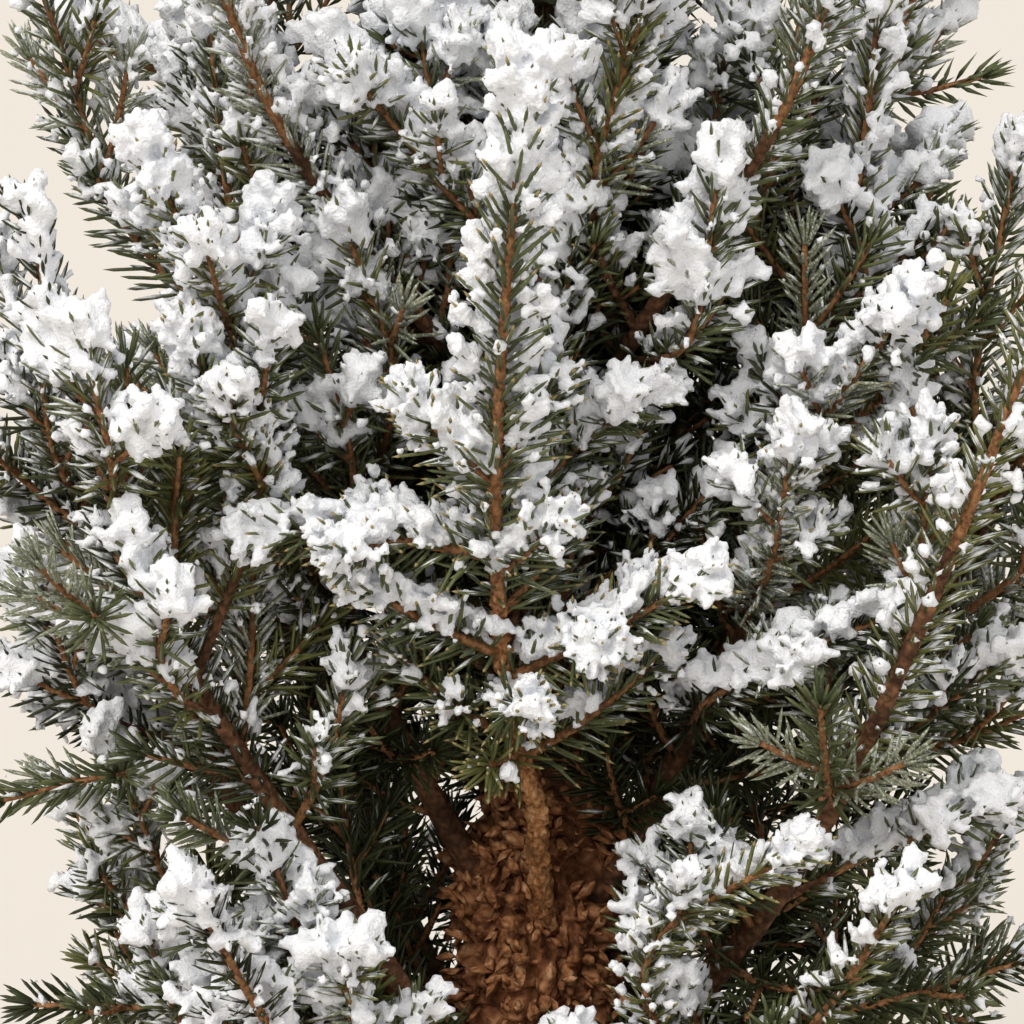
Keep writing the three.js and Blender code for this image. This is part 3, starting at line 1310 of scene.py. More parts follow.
class Crown:
    """Grows every shoot of the plant by a seeded branching rule."""

    crown_outline = ((168, 120), (220, 155), (400, 174), (553, 142), (650, 104), (750, 54), (800, 12))
    # How near to a shown shoot another may pass in front of it, how far in front, and with how much of it
    clear_way = 13.0
    clear_depth = 4.0
    clear_share = 0.2
    high_cover = 0.26
    front_growth = 5.0
    whorl_shoots = 22
    inside_shoots = 80
    # The shortest shoot that is grown, and from which length on one forks, in millimetres
    shortest = 26.0
    forks_from = 34.0
    # The shares of a bough's plume that carry side shoots, and how far apart they start, in millimetres
    plume_foot = 0.02
    plume_share = 0.6
    spacing = {Detail.MID: 8.5, Detail.FAR: 10.5}
    # A shown shoot's radius at its foot, how much each millimetre of length adds, and its forks' spacing
    thin_foot = 1.05
    thickening = 0.0032
    fork_gap = 13.0
    # Needle lengths on the front bough and on its side shoots, in millimetres
    front_needle = 17.0
    side_needle = 14.5
    # Between which heights, in millimetres, the chosen shoots carry most of the snow
    laden_heights = (250, 450)
    # The loads that are dealt out to other shoots, there and elsewhere
    sparse_loads = (0.05, 0.15, 0.4, 0.8)
    full_loads = (0.12, 0.5, 0.8, 1.0)
    # How often each tint is dealt to a spray
    tints = {"blue": 0.5, "moss": 0.16, "deep": 0.14, "frosted": 0.2}
    front_tints = {"blue": 0.65, "moss": 0.35}
    # Sheltered gaps between the heads at the front, in the view from there: across, up and radius
    gaps = (
        *((27, 456, 11), (-1, 546, 8), (61, 453, 10), (65, 477, 12), (127, 524, 12)),
        *((95, 396, 12), (-59, 435, 8), (47, 416, 9), (-36, 459, 8)),
    )

    def __init__(self) -> None:
        """Starts without shoots, and keeps the bole's front clear."""
        self.shoots: list[Shoot] = []
        self.feet: list[Shoot] = []
        self.rng = np.random.default_rng(7)
        # Points over the bole's front, which no shoot may cover
        across, up = np.meshgrid(np.arange(-21.0, 18, 9), np.arange(258.0, 330, 9))
        self.shown = self.seen(np.stack([across, np.full(across.shape, -24.0), up], -1).reshape(-1, 3))

    def seen(self, path: Array) -> Array:
        """A path across, up and away in the view from the front.

        Args:
            path: (n, 3) points in millimetres.

        Returns:
            (n, 3) places in the view, in millimetres.
        """
        sin, cos = math.sin(VIEW.lift), math.cos(VIEW.lift)
        away, up = path[:, 1], path[:, 2]
        return np.stack([path[:, 0], up * cos + away * sin, away * cos - up * sin], -1)

    def hides(self, path: Array) -> bool:
        """Whether a shoot would stand in front of the ones that show.

        Args:
            path: the shoot's centre line.

        Returns:
            True if it would hide them.
        """
        gap = self.seen(path[1:])[:, None] - self.shown[None]
        covers = (np.hypot(gap[..., 0], gap[..., 1]) < self.clear_way) & (gap[..., 2] < -self.clear_depth)
        return bool(covers.any(1).mean() > self.clear_share)

    def limb_near(self, foot: Array, tip: Array, limb: str) -> tuple[Array, str]:
        """The place on the limbs that a shoot comes from, below its foot and in line with it.

        Args:
            foot: where the shoot begins to show.
            tip: where it ends.
            limb: the limb that it must come from, or nothing for any.

        Returns:
            The place and the limb's label.
        """
        t = np.linspace(0.14, 0.9, 40)
        best, found = 1e9, (foot, "inner")
        for bough in [b for b in BOUGHS if limb in ("", b.label)]:
            places = bough.line(t)
            askew = 1 - unit(foot - places) @ unit(tip - foot)
            cost = np.linalg.norm(places - foot, axis=1) * (0.6 + 1.6 * askew)
            cost += 2.5 * np.maximum(0, places[:, 2] - foot[2] + 8)
            k = int(cost.argmin())
            if cost[k] < best:
                best, found = cost[k], (places[k], bough.label)
        return found

    def grow_shown(self) -> None:
        """Grows the shoots that show at the plant's front, each on from the limb behind its foot."""
        for plan in SHOWN_SHOOTS:
            foot, tip = VIEW.place(plan.foot), VIEW.place(plan.tip)
            root, label = self.limb_near(foot, tip, plan.limb)
            path = curve_through([root, foot, tip])
            hidden, shown = float(np.linalg.norm(foot - root)), float(np.linalg.norm(tip - foot))
            whole = hidden + shown
            start = hidden / whole
            detail = Detail.NEAR if plan.sharp else Detail.MID
            radius = self.thin_foot + self.thickening * whole
            twig = self.add(label, path, radius, detail, plan.snow, 0.35 * start)
            foot_path = path[: max(3, int(0.66 * start * len(path)) + 2)]
            self.feet.append(replace(twig, path=foot_path, tip_radius=1.25))
            twig.wood_from, twig.cap_from = 0.6 * start, start
            twig.cover += 0.3 if plan.sharp else 0.12
            twig.parting = 0.5
            twig.burden = lerp(1.0, 1.15, float(smooth(tip[2], 440, 500)))
            shares = np.arange(start * 0.9 + 0.05, 0.82, self.fork_gap / whole)
            forks = self.fork(twig, shares, max(self.shortest, 0.5 * shown), 44, 0.25)
            self.shown = np.vstack([self.shown, self.seen(path[path[:, 2] > foot[2] - 5])])
            for fork in forks:
                fork.snow = min(1.0, plan.snow * self.rng.uniform(0.7, 1.1))
                fork.detail = Detail.MID

    def openness(self, point: Array) -> float:
        """How near a point is to the crown's outside, from 0 at the trunk to about 1.

        Args:
            point: the point, in millimetres.

        Returns:
            The share of the way out.
        """
        heights, radii = zip(*self.crown_outline)
        reach = float(np.interp(point[2], heights, radii))
        return float(np.hypot(point[0], point[1])) / max(reach, 1.0)

    def faces_front(self, tip: Array) -> bool:
        """Whether a tip is where the chosen shoots already carry most of the snow."""
        low, high = self.laden_heights
        return bool(tip[1] < 0 and low < tip[2] < high)

    def exposure(self, path: Array) -> float:
        """How open a length of shoot is to the snow: near 0 in a sheltered gap, and else 1.

        Args:
            path: the points of that length.

        Returns:
            The share of its snow that it keeps.
        """
        gaps = np.array(self.gaps, float)
        apart = self.seen(path)[:, None, :2] - gaps[None, :, :2]
        return float(smooth(np.hypot(apart[..., 0], apart[..., 1]) / gaps[:, 2], 0.6, 1.1).min())

    def shade_of(self, openness: float) -> Shade:
        """Deals out a spray's tint: the deep tint inside the crown, as painted shade, and mixed tints
        outside.
        """
        if openness < 0.3:
            return Shade.DEEP
        return Shade(self.rng.choice(list(self.tints), p=list(self.tints.values())))

    def add(
        self,
        label: str,
        path: Array,
        foot: float,
        detail: Detail,
        snow: float | None = None,
        bare: float = 0.08,
    ) -> Shoot:
        """Adds one shoot.

        Args:
            label: the bough that it belongs to, or the tier.
            path: its centre line.
            foot: its radius at its foot.
            detail: how finely it is modelled.
            snow: its load of snow, or None for one dealt out by where its tip is.
            bare: the share of it that has no needles.

        Returns:
            The shoot.
        """
        openness = self.openness(path[-1])
        if snow is None:
            shelter = lerp(0.36, 1.35, float(smooth(path[-1][2], 270, 500)))
            deal = self.sparse_loads if self.faces_front(path[-1]) else self.full_loads
            snow = float(smooth(openness * shelter, 0.14, 0.52)) * self.rng.choice(deal)
        group, shade, seed = label.split("_")[0], self.shade_of(openness), len(self.shoots)
        shoot = Shoot(group, label, path, foot, 0.8, detail, shade, snow, bare, seed)
        drift = smooth(path[-1][2], 460, 530) * smooth(-path[-1][0], -85, 0)
        shoot.cover = self.high_cover * float(drift)
        self.shoots.append(shoot)
        return shoot

    def fork(
        self, parent: Shoot, shares: Iterable[float], length: float, angle: float, lift: float
    ) -> list[Shoot]:
        """Grows smaller shoots from both sides of one.

        Args:
            parent: the shoot that they leave.
            shares: where on it they leave.
            length: how long the lowest is.
            angle: how far they turn away from it, in degrees.
            lift: how far they turn upwards, in radians.

        Returns:
            The new shoots.
        """
        grown = []
        for k, share in enumerate(shares):
            place, line = parent.at(np.array([share]))
            level = unit(np.cross(line[0], UP) + 1e-6)
            over = unit(np.cross(level, line[0]))
            turn = (1 if (k + parent.seed) % 2 else -1) * math.radians(self.rng.uniform(62, 118))
            heading = turned(line[0], turned(over, level, turn), math.radians(angle))
            size = length * (1 - 0.45 * share) * self.rng.uniform(0.8, 1.15)
            path = grow_path(place[0], heading, size, lift)
            snow = parent.snow * self.rng.uniform(0.7, 1.1)
            grown.append(self.add(parent.label, path, 1.0, parent.detail, snow))
        return grown

    def grow_bough(self, bough: Bough) -> None:
        """Carries a bough's stem on to its tip, and sets its side shoots round it.

        Args:
            bough: the bough.
        """
        detail = bough.detail()
        start = bough.tier.plume_from
        t = np.linspace(start, 1, max(8, int(bough.length * (1 - start) / 6)))
        stem = Shoot(bough.tier.name, bough.label, bough.line(t), 2.0, 1.0, detail, Shade.BLUE, 1.0)
        foot, young = bough.needles_from(), bough.young_from() - 0.02
        wood_from = (young - foot) / (1 - foot)
        radius = (float(limb_radius(bough, young)) * 0.97 - 0.8 * wood_from) / (1 - wood_from)
        line = bough.line(np.linspace(foot, 1, max(8, int(bough.length / 8))))
        if bough.is_front:
            line = np.vstack([line, line[-1] + unit(line[-1] - line[-2]) * self.front_growth])
        leader = self.add(bough.label, line, radius, detail, bare=0.02)
        leader.wood_from = wood_from
        leader.snow = max(leader.snow, 0.9)
        leader.cover += 0.15 if bough.tier.name in ("skirt", "outer") else 0.28
        if bough.is_front:
            leader.shade, leader.needle, leader.cover = Shade.BLUE, self.front_needle, 0.66
            leader.heaps, leader.burden, leader.parting = (1.0, 0.885), 1.4, 0.85
            self.grow_front(bough, stem)
            return
        count = int(bough.length * (1 - start) * self.plume_share / self.spacing[detail])
        for k in range(count):
            s = self.plume_foot + self.plume_share * (k + 0.5) / count
            angle = k * GOLDEN_ANGLE + bough.seed
            place, line = stem.at(np.array([s]))
            across = np.cross(bough.side, line[0])
            away = turned(-bough.side, across, angle)
            turn = math.radians(lerp(60, 38, s / self.plume_share) + self.rng.uniform(-7, 7))
            heading = turned(line[0], away, turn)
            reach = bough.plume_reach(min(0.9, s + 0.1))
            length = max(self.shortest, (reach - 7) / math.sin(turn)) * self.rng.uniform(0.85, 1.08)
            path = grow_path(place[0], heading, length, 0.55)
            if self.hides(path):
                continue
            twig = self.add(bough.label, path, 1.5, detail)
            if length > self.forks_from:
                shares = np.arange(0.26, 0.72, 15 / length)
                self.fork(twig, shares, 0.62 * length, 46, 0.2)

    def grow_front(self, bough: Bough, stem: Shoot) -> None:
        """Sets the front bough's side shoots where the plant's front shows them."""
        for plan in FRONT_SHOOTS:
            s = (plan.at - bough.tier.plume_from) / (1 - bough.tier.plume_from)
            place, _ = stem.at(np.array([max(0.0, s)]))
            azimuth, rise = math.radians(plan.azimuth), math.radians(plan.rise)
            out = np.array([math.sin(azimuth), -math.cos(azimuth), 0.0])
            path = grow_path(place[0], turned(out, UP, rise), plan.length, plan.lift, 4.0)
            twig = self.add(bough.label, path, 1.5, Detail.NEAR, snow=plan.snow, bare=0.05)
            for shoot in [twig, *self.fork(twig, plan.offsets, 0.36 * plan.length, 44, 0.1)]:
                tint = self.rng.choice(list(self.front_tints), p=list(self.front_tints.values()))
                shoot.shade, shoot.needle = Shade(tint), self.side_needle

    def grow_top(self) -> None:
        """The leader's tip, with whorls of short shoots below it."""
        z = np.linspace(620, 797, 30)
        axis = TRUNK.axis(np.minimum(z, TRUNK.tip))
        axis[:, 2] = z
        leader = self.add("top", axis, float(TRUNK.radius(620.0)), Detail.FAR, snow=0.9, bare=0.0)
        for k in range(self.whorl_shoots):
            s = 0.02 + 0.7 * k / self.whorl_shoots
            place, line = leader.at(np.array([s]))
            heading = turned(line[0], out_at(k * GOLDEN_ANGLE), math.radians(lerp(60, 38, s)))
            length = lerp(50.0, 26.0, s) * self.rng.uniform(0.85, 1.1)
            path = grow_path(place[0], heading, length, 0.35)
            twig = self.add("top", path, 1.4, Detail.FAR, snow=self.rng.uniform(0.5, 1))
            if length > self.forks_from:
                self.fork(twig, (0.35, 0.55), 0.5 * length, 46, 0.2)

    def grow_inside(self) -> None:
        """Short shaded shoots on the trunk and the boughs' bare parts, which close the crown's inside; those
        on the bare parts take the deep tint as painted shade.
        """
        for k in range(self.inside_shoots):
            z = lerp(335.0, 640.0, k / self.inside_shoots)
            out = out_at(k * GOLDEN_ANGLE + 0.6)
            heading = unit(out + 0.55 * UP)
            length = self.rng.uniform(44, 74)
            start = TRUNK.axis(z) + out * (TRUNK.radius(z) - 1)
            group = "inner" if z < 430 else "upper" if z < 550 else "high"
            twig = self.add(group, grow_path(start, heading, length, 0.4), 1.5, Detail.FAR, bare=0.12)
            self.fork(twig, (0.35, 0.5, 0.65), 0.5 * length, 48, 0.2)
        for bough in OTHER_BOUGHS:
            for k, t in enumerate(np.arange(0.3, 0.98, 0.13) * bough.tier.plume_from):
                angle = k * 2.2 + bough.seed
                along = bough.along(t)
                heading = along * 0.5 + turned(bough.side, np.cross(bough.side, along), angle)
                path = grow_path(bough.point(t), heading, self.rng.uniform(34, 56), 0.5)
                if self.hides(path):
                    continue
                twig = self.add(bough.label, path, 1.3, bough.detail(), snow=0.06, bare=0.12)
                # Painted shade: these shoots inside the crown take the deep tint
                twig.shade = Shade.DEEP
                for fork in self.fork(twig, (0.4, 0.6), 30.0, 46, 0.2):
                    fork.shade = Shade.DEEP

    def build(self) -> list[Shoot]:
        """Grows the whole crown and gives its shoots.

        Returns:
            Every shoot.
        """
        self.grow_bough(FRONT)
        laden = [self.seen(shoot.path) for shoot in self.shoots if shoot.snow > 0.3]
        self.shown = np.vstack([self.shown, *laden])
        self.grow_shown()
        for bough in OTHER_BOUGHS:
            self.grow_bough(bough)
        self.grow_top()
        self.grow_inside()
        for shoot in self.shoots:
            if shoot.detail is not Detail.NEAR:
                shoot.snow *= self.exposure(shoot.path[len(shoot.path) // 2 :])
        LOG.info("%d shoots, %.1f m in all", len(self.shoots), sum(s.length for s in self.shoots) / 1000)
        return self.shoots


# Needles, twigs and snow


@dataclass(frozen=True)
class NeedleShape:
    """One needle's shape: its sides, and rings as shares of its length and of its half width."""

    sides: int
    rings: tuple[tuple[float, float], ...]
    half_width: float
    per_mm: float

    def template(self) -> tuple[Array, Array]:
        """The shape at a length and half width of one.

        Returns:
            Its points and its faces: a point at either end, and the rings between them.
        """
        turn = np.arange(self.sides) * 2 * math.pi / self.sides
        verts = [[0, 0, 0]]
        for z, r in self.rings:
            verts += [[r * math.cos(a), r * math.sin(a), z] for a in turn]
        verts.append([0, 0, 1])
        n, last = self.sides, len(verts) - 1
        faces = []
        for k in range(n):
            after = (k + 1) % n
            faces.append([0, 1 + after, 1 + k])
            for ring in range(len(self.rings) - 1):
                low, high = 1 + ring * n, 1 + (ring + 1) * n
                faces += [[low + k, low + after, high + after], [low + k, high + after, high + k]]
            top = last - n
            faces.append([top + k, top + after, last])
        return np.array(verts, float), np.array(faces)


NEEDLE_SHAPES = {
    Detail.NEAR: NeedleShape(4, ((0.08, 0.75), (0.45, 1.0), (0.88, 0.75)), 0.62, 1.5),
    Detail.MID: NeedleShape(3, ((0.16, 0.95), (0.8, 0.85)), 0.68, 1.25),
    Detail.FAR: NeedleShape(3, ((0.35, 1.0),), 0.85, 0.95),
}
DUST_SHAPE = NeedleShape(3, ((0.5, 1.0),), 1.0, 0.0)
TIP_SHAPE = NeedleShape(4, ((0.3, 1.0),), 0.56, 0.0)


@dataclass
class Rows:
    """Arrays with one row for each of many things."""

    def only(self, some: Array) -> Self:
        """The rows that a mask picks."""
        return type(self)(*(getattr(self, column.name)[some] for column in fields(self)))


@dataclass
class NeedleSet(Rows):
    """Needles of one shoot, as arrays in millimetres."""

    base: Array
    way: Array
    hook: Array
    length: Array
    share: Array

    def placed(self, along: Array, side: Array, sideways: Array, top: Array, upwards: Array) -> Array:
        """Lays a shape's points out along each needle.

        Args:
            along: (points,) shares of the needle's length.
            side: (needles, 3) one way across each needle.
            sideways: how far each point lies that way, in millimetres.
            top: (needles, 3) the other way across.
            upwards: how far each point lies that way, in millimetres.

        Returns:
            (needles, points, 3) places in metres.
        """
        return (
            self.base[:, None]
            + self.way[:, None] * (along[None] * self.length[:, None])[..., None]
            + self.hook[:, None] * (along**2)[None, :, None]
            + side[:, None] * sideways[..., None]
            + top[:, None] * upwards[..., None]
        ) * MM


@dataclass
class Needles:
    """Sets the needles round each shoot, and joins them by tier and tint."""

    brush: int = 9
    brush_at: float = 0.995
    tilt_foot: float = 62.0
    tilt_tip: float = 42.0
    tilt_spread: float = 8.0
    hook_share: float = 0.1
    dry_share: float = 0.65

    def around(self, shoot: Shoot) -> NeedleSet:
        """The needles of one shoot, in an even spiral that closes to a brush at its tip.

        Args:
            shoot: the shoot.

        Returns:
            Where each needle starts, points, hooks and ends.
        """
        rng = np.random.default_rng(1000 + shoot.seed)
        count = max(6, int(shoot.length * (1 - shoot.bare) * NEEDLE_SHAPES[shoot.detail].per_mm))
        u = lerp(shoot.bare, 1.0, (np.arange(count) + 0.5) / count)
        u = np.concatenate([u, np.full(self.brush, self.brush_at)])
        place, line = shoot.at(u)
        side, over = sides_of(line, ASKEW_UP)
        turn = np.arange(len(u)) * GOLDEN_ANGLE + rng.normal(0, 0.25, len(u))
        away = side * np.cos(turn)[:, None] + over * np.sin(turn)[:, None]
        tilt = np.radians(lerp(self.tilt_foot, self.tilt_tip, u) + rng.normal(0, self.tilt_spread, len(u)))
        tilt[-self.brush :] = np.radians(rng.uniform(8, 38, self.brush))
        way = unit(line * np.cos(tilt)[:, None] + away * np.sin(tilt)[:, None])
        radius = lerp(shoot.foot_radius, shoot.tip_radius, u)
        length = shoot.needle * rng.uniform(0.78, 1.1, len(u)) * lerp(1.1, 0.84, u)
        hook = (line * 0.7 + UP * 0.3) * (self.hook_share * length)[:, None]
        hook = hook * rng.uniform(0.4, 1.4, len(u))[:, None]
        return NeedleSet(place + away * (0.75 * radius)[:, None], way, hook, length, u)

    def shape(self, needles: NeedleSet, shape: NeedleShape) -> Array:
        """Sets a needle's shape at each needle, as (needles, points, 3) places in metres.

        Args:
            needles: the needles.
            shape: the shape of one.

        Returns:
            The places.
        """
        points, _ = shape.template()
        side, over = sides_of(needles.way, ASKEW_BACK)
        wide = points[None] * shape.half_width
        return needles.placed(points[:, 2], side, wide[..., 0], over, wide[..., 1])

    def tips(self, shoot: Shoot, needles: NeedleSet) -> Array:
        """The horny points of one shoot's needles, each just outside the needle's own end.

        Args:
            shoot: the shoot.
            needles: its needles.

        Returns:
            (needles, points, 3) places in metres.
        """
        end = needles.base + needles.way * (0.84 * needles.length)[:, None] + needles.hook * 0.72
        point = needles.base + needles.way * (1.02 * needles.length)[:, None] + needles.hook * 1.02
        way = point - end
        length = np.linalg.norm(way, axis=1)
        dry = np.random.default_rng(3000 + shoot.seed).random(len(length)) < self.dry_share
        ends = NeedleSet(end, way / length[:, None], np.zeros_like(end), length, needles.share)
        return self.shape(ends.only(dry), TIP_SHAPE)

    def build(self, shoots: list[Shoot], sets: list[NeedleSet]) -> None:
        """Joins and dresses the needles of every tier, each tint and fineness apart.

        Args:
            shoots: the shoots.
            sets: the needles of each.
        """
        kinds: dict[tuple[str, Shade, Detail], list[Array]] = {}
        for shoot, needles in zip(shoots, sets):
            key = (shoot.group, shoot.shade, shoot.detail)
            kinds.setdefault(key, []).append(self.shape(needles, NEEDLE_SHAPES[shoot.detail]))
        materials = {shade: finish.material() for shade, finish in NEEDLES.items()}
        tips = [self.tips(s, n) for s, n in zip(shoots, sets) if s.detail is Detail.NEAR]
        _, faces = TIP_SHAPE.template()
        piece = mesh_object("needle_tips", *copies(np.concatenate(tips), faces))
        finish_piece(piece, NEEDLE_TIPS.material())
        for (group, shade, detail), parts in kinds.items():
            _, faces = NEEDLE_SHAPES[detail].template()
            name = f"needles_{group}_{shade.value}_{detail.value}"
            piece = mesh_object(name, *copies(np.concatenate(parts), faces))
            finish_piece(piece, materials[shade], foliage_nodes(group))


def foliage_nodes(group: str) -> list[str]:
    """The foliage solids of one tier."""
    return sorted(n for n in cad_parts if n.startswith(f"foliage_{group}"))


class Twigs:
    """The shoots' own wood, as slim tubes joined by tier."""

    sides = {Detail.NEAR: 10, Detail.MID: 5, Detail.FAR: 4}
    step = {Detail.NEAR: 1.2, Detail.MID: 7.0, Detail.FAR: 10.0}

    def tube(self, shoot: Shoot) -> tuple[Array, Array]:
        """One shoot's tube, closed by a point at its tip and at its foot.

        Args:
            shoot: the shoot.

        Returns:
            Its points in metres and its triangles.
        """
        n = self.sides[shoot.detail]
        rings = max(3, int(shoot.length * (1 - shoot.wood_from) / self.step[shoot.detail]))
        u = np.linspace(shoot.wood_from, 1, rings)
        place, line = shoot.at(u)
        side, over = sides_of(line, ASKEW_UP)
        turn = np.arange(n) * 2 * math.pi / n
        radius = lerp(shoot.foot_radius, shoot.tip_radius, u)[:, None] * np.ones(n)
        if shoot.detail is Detail.NEAR:
            pegs = np.sin(np.arange(rings)[:, None] * 1.9 + turn[None] * 3)
            radius += 0.24 * pegs * np.minimum(1, radius)
        out = side[:, None] * np.cos(turn)[None, :, None] + over[:, None] * np.sin(turn)[None, :, None]
        verts = (place[:, None] + out * radius[..., None]).reshape(-1, 3)
        verts = np.vstack([verts, place[0] - line[0] * 0.5, place[-1] + line[-1] * shoot.tip_radius])
        faces = []
        foot, tip = len(verts) - 2, len(verts) - 1
        for k in range(n):
            after = (k + 1) % n
            faces.append([foot, after, k])
            faces.append([tip, (rings - 1) * n + k, (rings - 1) * n + after])
            for r in range(rings - 1):
                a, b = r * n + k, r * n + after
                faces += [[a, b, b + n], [a, b + n, a + n]]
        return verts * MM, np.array(faces)

    def build(self, shoots: list[Shoot], kind: str, material: Material) -> None:
        """Joins and dresses the twigs of every tier.

        Args:
            shoots: the shoots that they belong to.
            kind: what the pieces' names begin with.
            material: their bark.
        """
        for group in dict.fromkeys(s.group for s in shoots):
            tubes = [self.tube(shoot) for shoot in shoots if shoot.group == group]
            finish_piece(join_parts(f"{kind}_{group}", tubes), material)


@dataclass
class Lumps(Rows):
    """Lumps of snow, each longer along its own way. Lengths are in millimetres."""

    centre: Array
    way: Array
    half_length: Array
    radius: Array

    @classmethod
    def joined(cls, parts: list[Self]) -> Self:
        """All the lumps of several lots."""
        names = [column.name for column in fields(cls)]
        return cls(*(np.concatenate([getattr(part, name) for part in parts]) for name in names))


# From which radius on, in millimetres, a clod's ball is divided two and three times
CLOD_LEVELS = {Detail.NEAR: (1.0, 9.0), Detail.MID: (2.1, 9.0), Detail.FAR: (9.0, 9.0)}


@dataclass(frozen=True)
class Grain:
    """How finely drifts are rebuilt, the share of faces kept, and the lumps on them, in millimetres.

    Then how large the clods on its needles are, and how likely, against the usual.
    """

    voxel: float
    kept: float
    lump: float
    depth: float
    coarse: float
    chance: float


GRAINS = {
    Detail.NEAR: Grain(0.8, 0.62, 2.6, 0.7, 0.9, 1.4),
    Detail.MID: Grain(1.2, 0.42, 4.0, 1.3, 1.1, 0.95),
    Detail.FAR: Grain(1.75, 0.38, 5.0, 1.5, 1.55, 0.5),
}


@dataclass
class Snow:
    """Powder that clings to the needles' outer ends in clods and heaps up on the shoots' tips."""

    patch: float = 11.0
    level_cap: float = 0.75
    cap_spacing: float = 0.8
    least: float = 0.08
    # From and to which share of a needle clods lie, and how likely and how wide they are there
    bands: tuple[tuple[float, ...], ...] = ((0.62, 0.9, 1.0, 1.0), (0.3, 0.6, 0.7, 0.8))
    grain_mm: float = 1.2
    grain_depth: float = 0.4

    def load(self, shoot: Shoot, needles: NeedleSet) -> Array:
        """How much snow each needle holds, from 0 to 1: much in patches and at the tip, little between.

        Args:
            shoot: the shoot.
            needles: its needles.

        Returns:
            (n,) loads.
        """
        patch = lattice_noise((needles.base + 6 * needles.way) / self.patch, 3) + shoot.cover
        patch = smooth(patch, -0.2, 0.12)
        catch = smooth(needles.way[:, 2], -0.25, 0.55)
        foot = smooth(needles.share * shoot.length, 0, 14)
        tip = smooth(needles.share, 1 - 16 / shoot.length, 1 - 5 / shoot.length)
        parted = 1 - shoot.parting * smooth(-needles.way[:, 1], 0.35, 0.65)
        return shoot.snow * np.maximum(catch * foot * patch * parted, tip)

    def lumps(self, shoot: Shoot, needles: NeedleSet, load: Array) -> list[Lumps]:
        """Where snow lies on one shoot.

        Args:
            shoot: the shoot.
            needles: its needles.
            load: how much each needle holds.

        Returns:
            The clods on its needles, on its tip and along its upper side.
        """
        rng = np.random.default_rng(9000 + shoot.seed)
        if shoot.snow < self.least:
            return []
        grain = GRAINS[shoot.detail]
        count = len(load)
        parts = []
        for low, high, share, width in self.bands:
            laden = rng.random(count) < load * grain.chance * share
            size = rng.uniform(1.1, 2.2, count) * (0.7 + 0.4 * load)
            size = size * grain.coarse * width * shoot.burden**1.2
            middle = needles.base + needles.way * (needles.length * rng.uniform(low, high, count))[:, None]
            middle += needles.hook * 0.5 + UP * (0.5 * size)[:, None] + rng.normal(0, 0.5, (count, 3))
            reach = size * rng.uniform(1.0, 1.8, count)
            parts.append(Lumps(middle[laden], needles.way[laden], reach[laden], size[laden]))
        heap = int(0.85 * shoot.needle * shoot.snow * shoot.burden**2)
        for share in shoot.heaps:
            tip, line = shoot.at(np.array([share]))
            offset = rng.normal(0, 2.5 * shoot.burden, (heap, 3))
            offset = offset + line * rng.uniform(-6, 7, heap)[:, None] + UP * 1.2
            size = rng.uniform(1.6, 3.6, heap) * (0.75 + 0.25 * shoot.snow)
            parts.append(Lumps(tip + offset, np.tile(UP, (heap, 1)), size * 1.1, size))
        rise = float(unit(shoot.path[-1] - shoot.path[0])[2])
        if shoot.snow > 0.5 and rise < self.level_cap:
            heap = int(shoot.length * (1 - shoot.cap_from) / self.cap_spacing)
            place, line = shoot.at(rng.uniform(shoot.cap_from, 1.0, heap))
            across = unit(np.cross(line, UP))
            top = unit(np.cross(across, line))
            offset = across * rng.normal(0, 3.8, heap)[:, None] + top * rng.uniform(2.0, 8.5, heap)[:, None]
            size = rng.uniform(1.2, 2.9, heap) * (0.6 + 0.4 * shoot.snow)
            parts.append(Lumps(place + offset, line, size * 1.3, size))
        return parts

    def clods(self, lumps: Lumps, level: int, seed: int) -> tuple[Array, Array]:
        """Uneven clods of one fineness.

        Args:
            lumps: where they lie and how large they are.
            level: how often the ball that each is made from is divided.
            seed: picks their shapes.

        Returns:
            Their points in metres and their triangles.
        """
        ball = bmesh.new()
        bmesh.ops.create_icosphere(ball, subdivisions=level, radius=1)
        points = np.array([v.co for v in ball.verts])
        faces = np.array([[v.index for v in f.verts] for f in ball.faces])
        ball.free()
        rng = np.random.default_rng(seed)
        count = len(lumps.radius)
        field = points[None] * 1.7 + rng.uniform(0, 900, (count, 1, 3))
        bulge = lattice_noise(field.reshape(-1, 3)).reshape(count, -1)
        grain = lattice_noise(field.reshape(-1, 3) * 2.9, 5).reshape(count, -1)
        out = 1 + 0.42 * bulge + 0.24 * grain + rng.uniform(-0.07, 0.07, bulge.shape)
        rough = points[None] * out[..., None]
        side, over = sides_of(lumps.way, ASKEW_BACK)
        verts = (
            lumps.centre[:, None]
            + side[:, None] * (rough[..., 0] * lumps.radius[:, None])[..., None]
            + over[:, None] * (rough[..., 1] * lumps.radius[:, None])[..., None]
            + lumps.way[:, None] * (rough[..., 2] * lumps.half_length[:, None])[..., None]
        )
        return copies(verts * MM, faces)

    def bed(self, name: str, lumps: Lumps, detail: Detail, seed: int) -> Piece:
        """Joins the clods of one piece, the big ones finer than the small.

        Args:
            name: the piece's name.
            lumps: the clods.
            detail: how fine the piece is.
            seed: picks the clods' shapes.

        Returns:
            The piece.
        """
        levels = 1 + np.digitize(lumps.radius, CLOD_LEVELS[detail])
        used = sorted(set(levels.tolist()))
        piece = join_parts(name, [self.clods(lumps.only(levels == level), level, seed) for level in used])
        self.fuse(piece, GRAINS[detail], seed)
        return piece

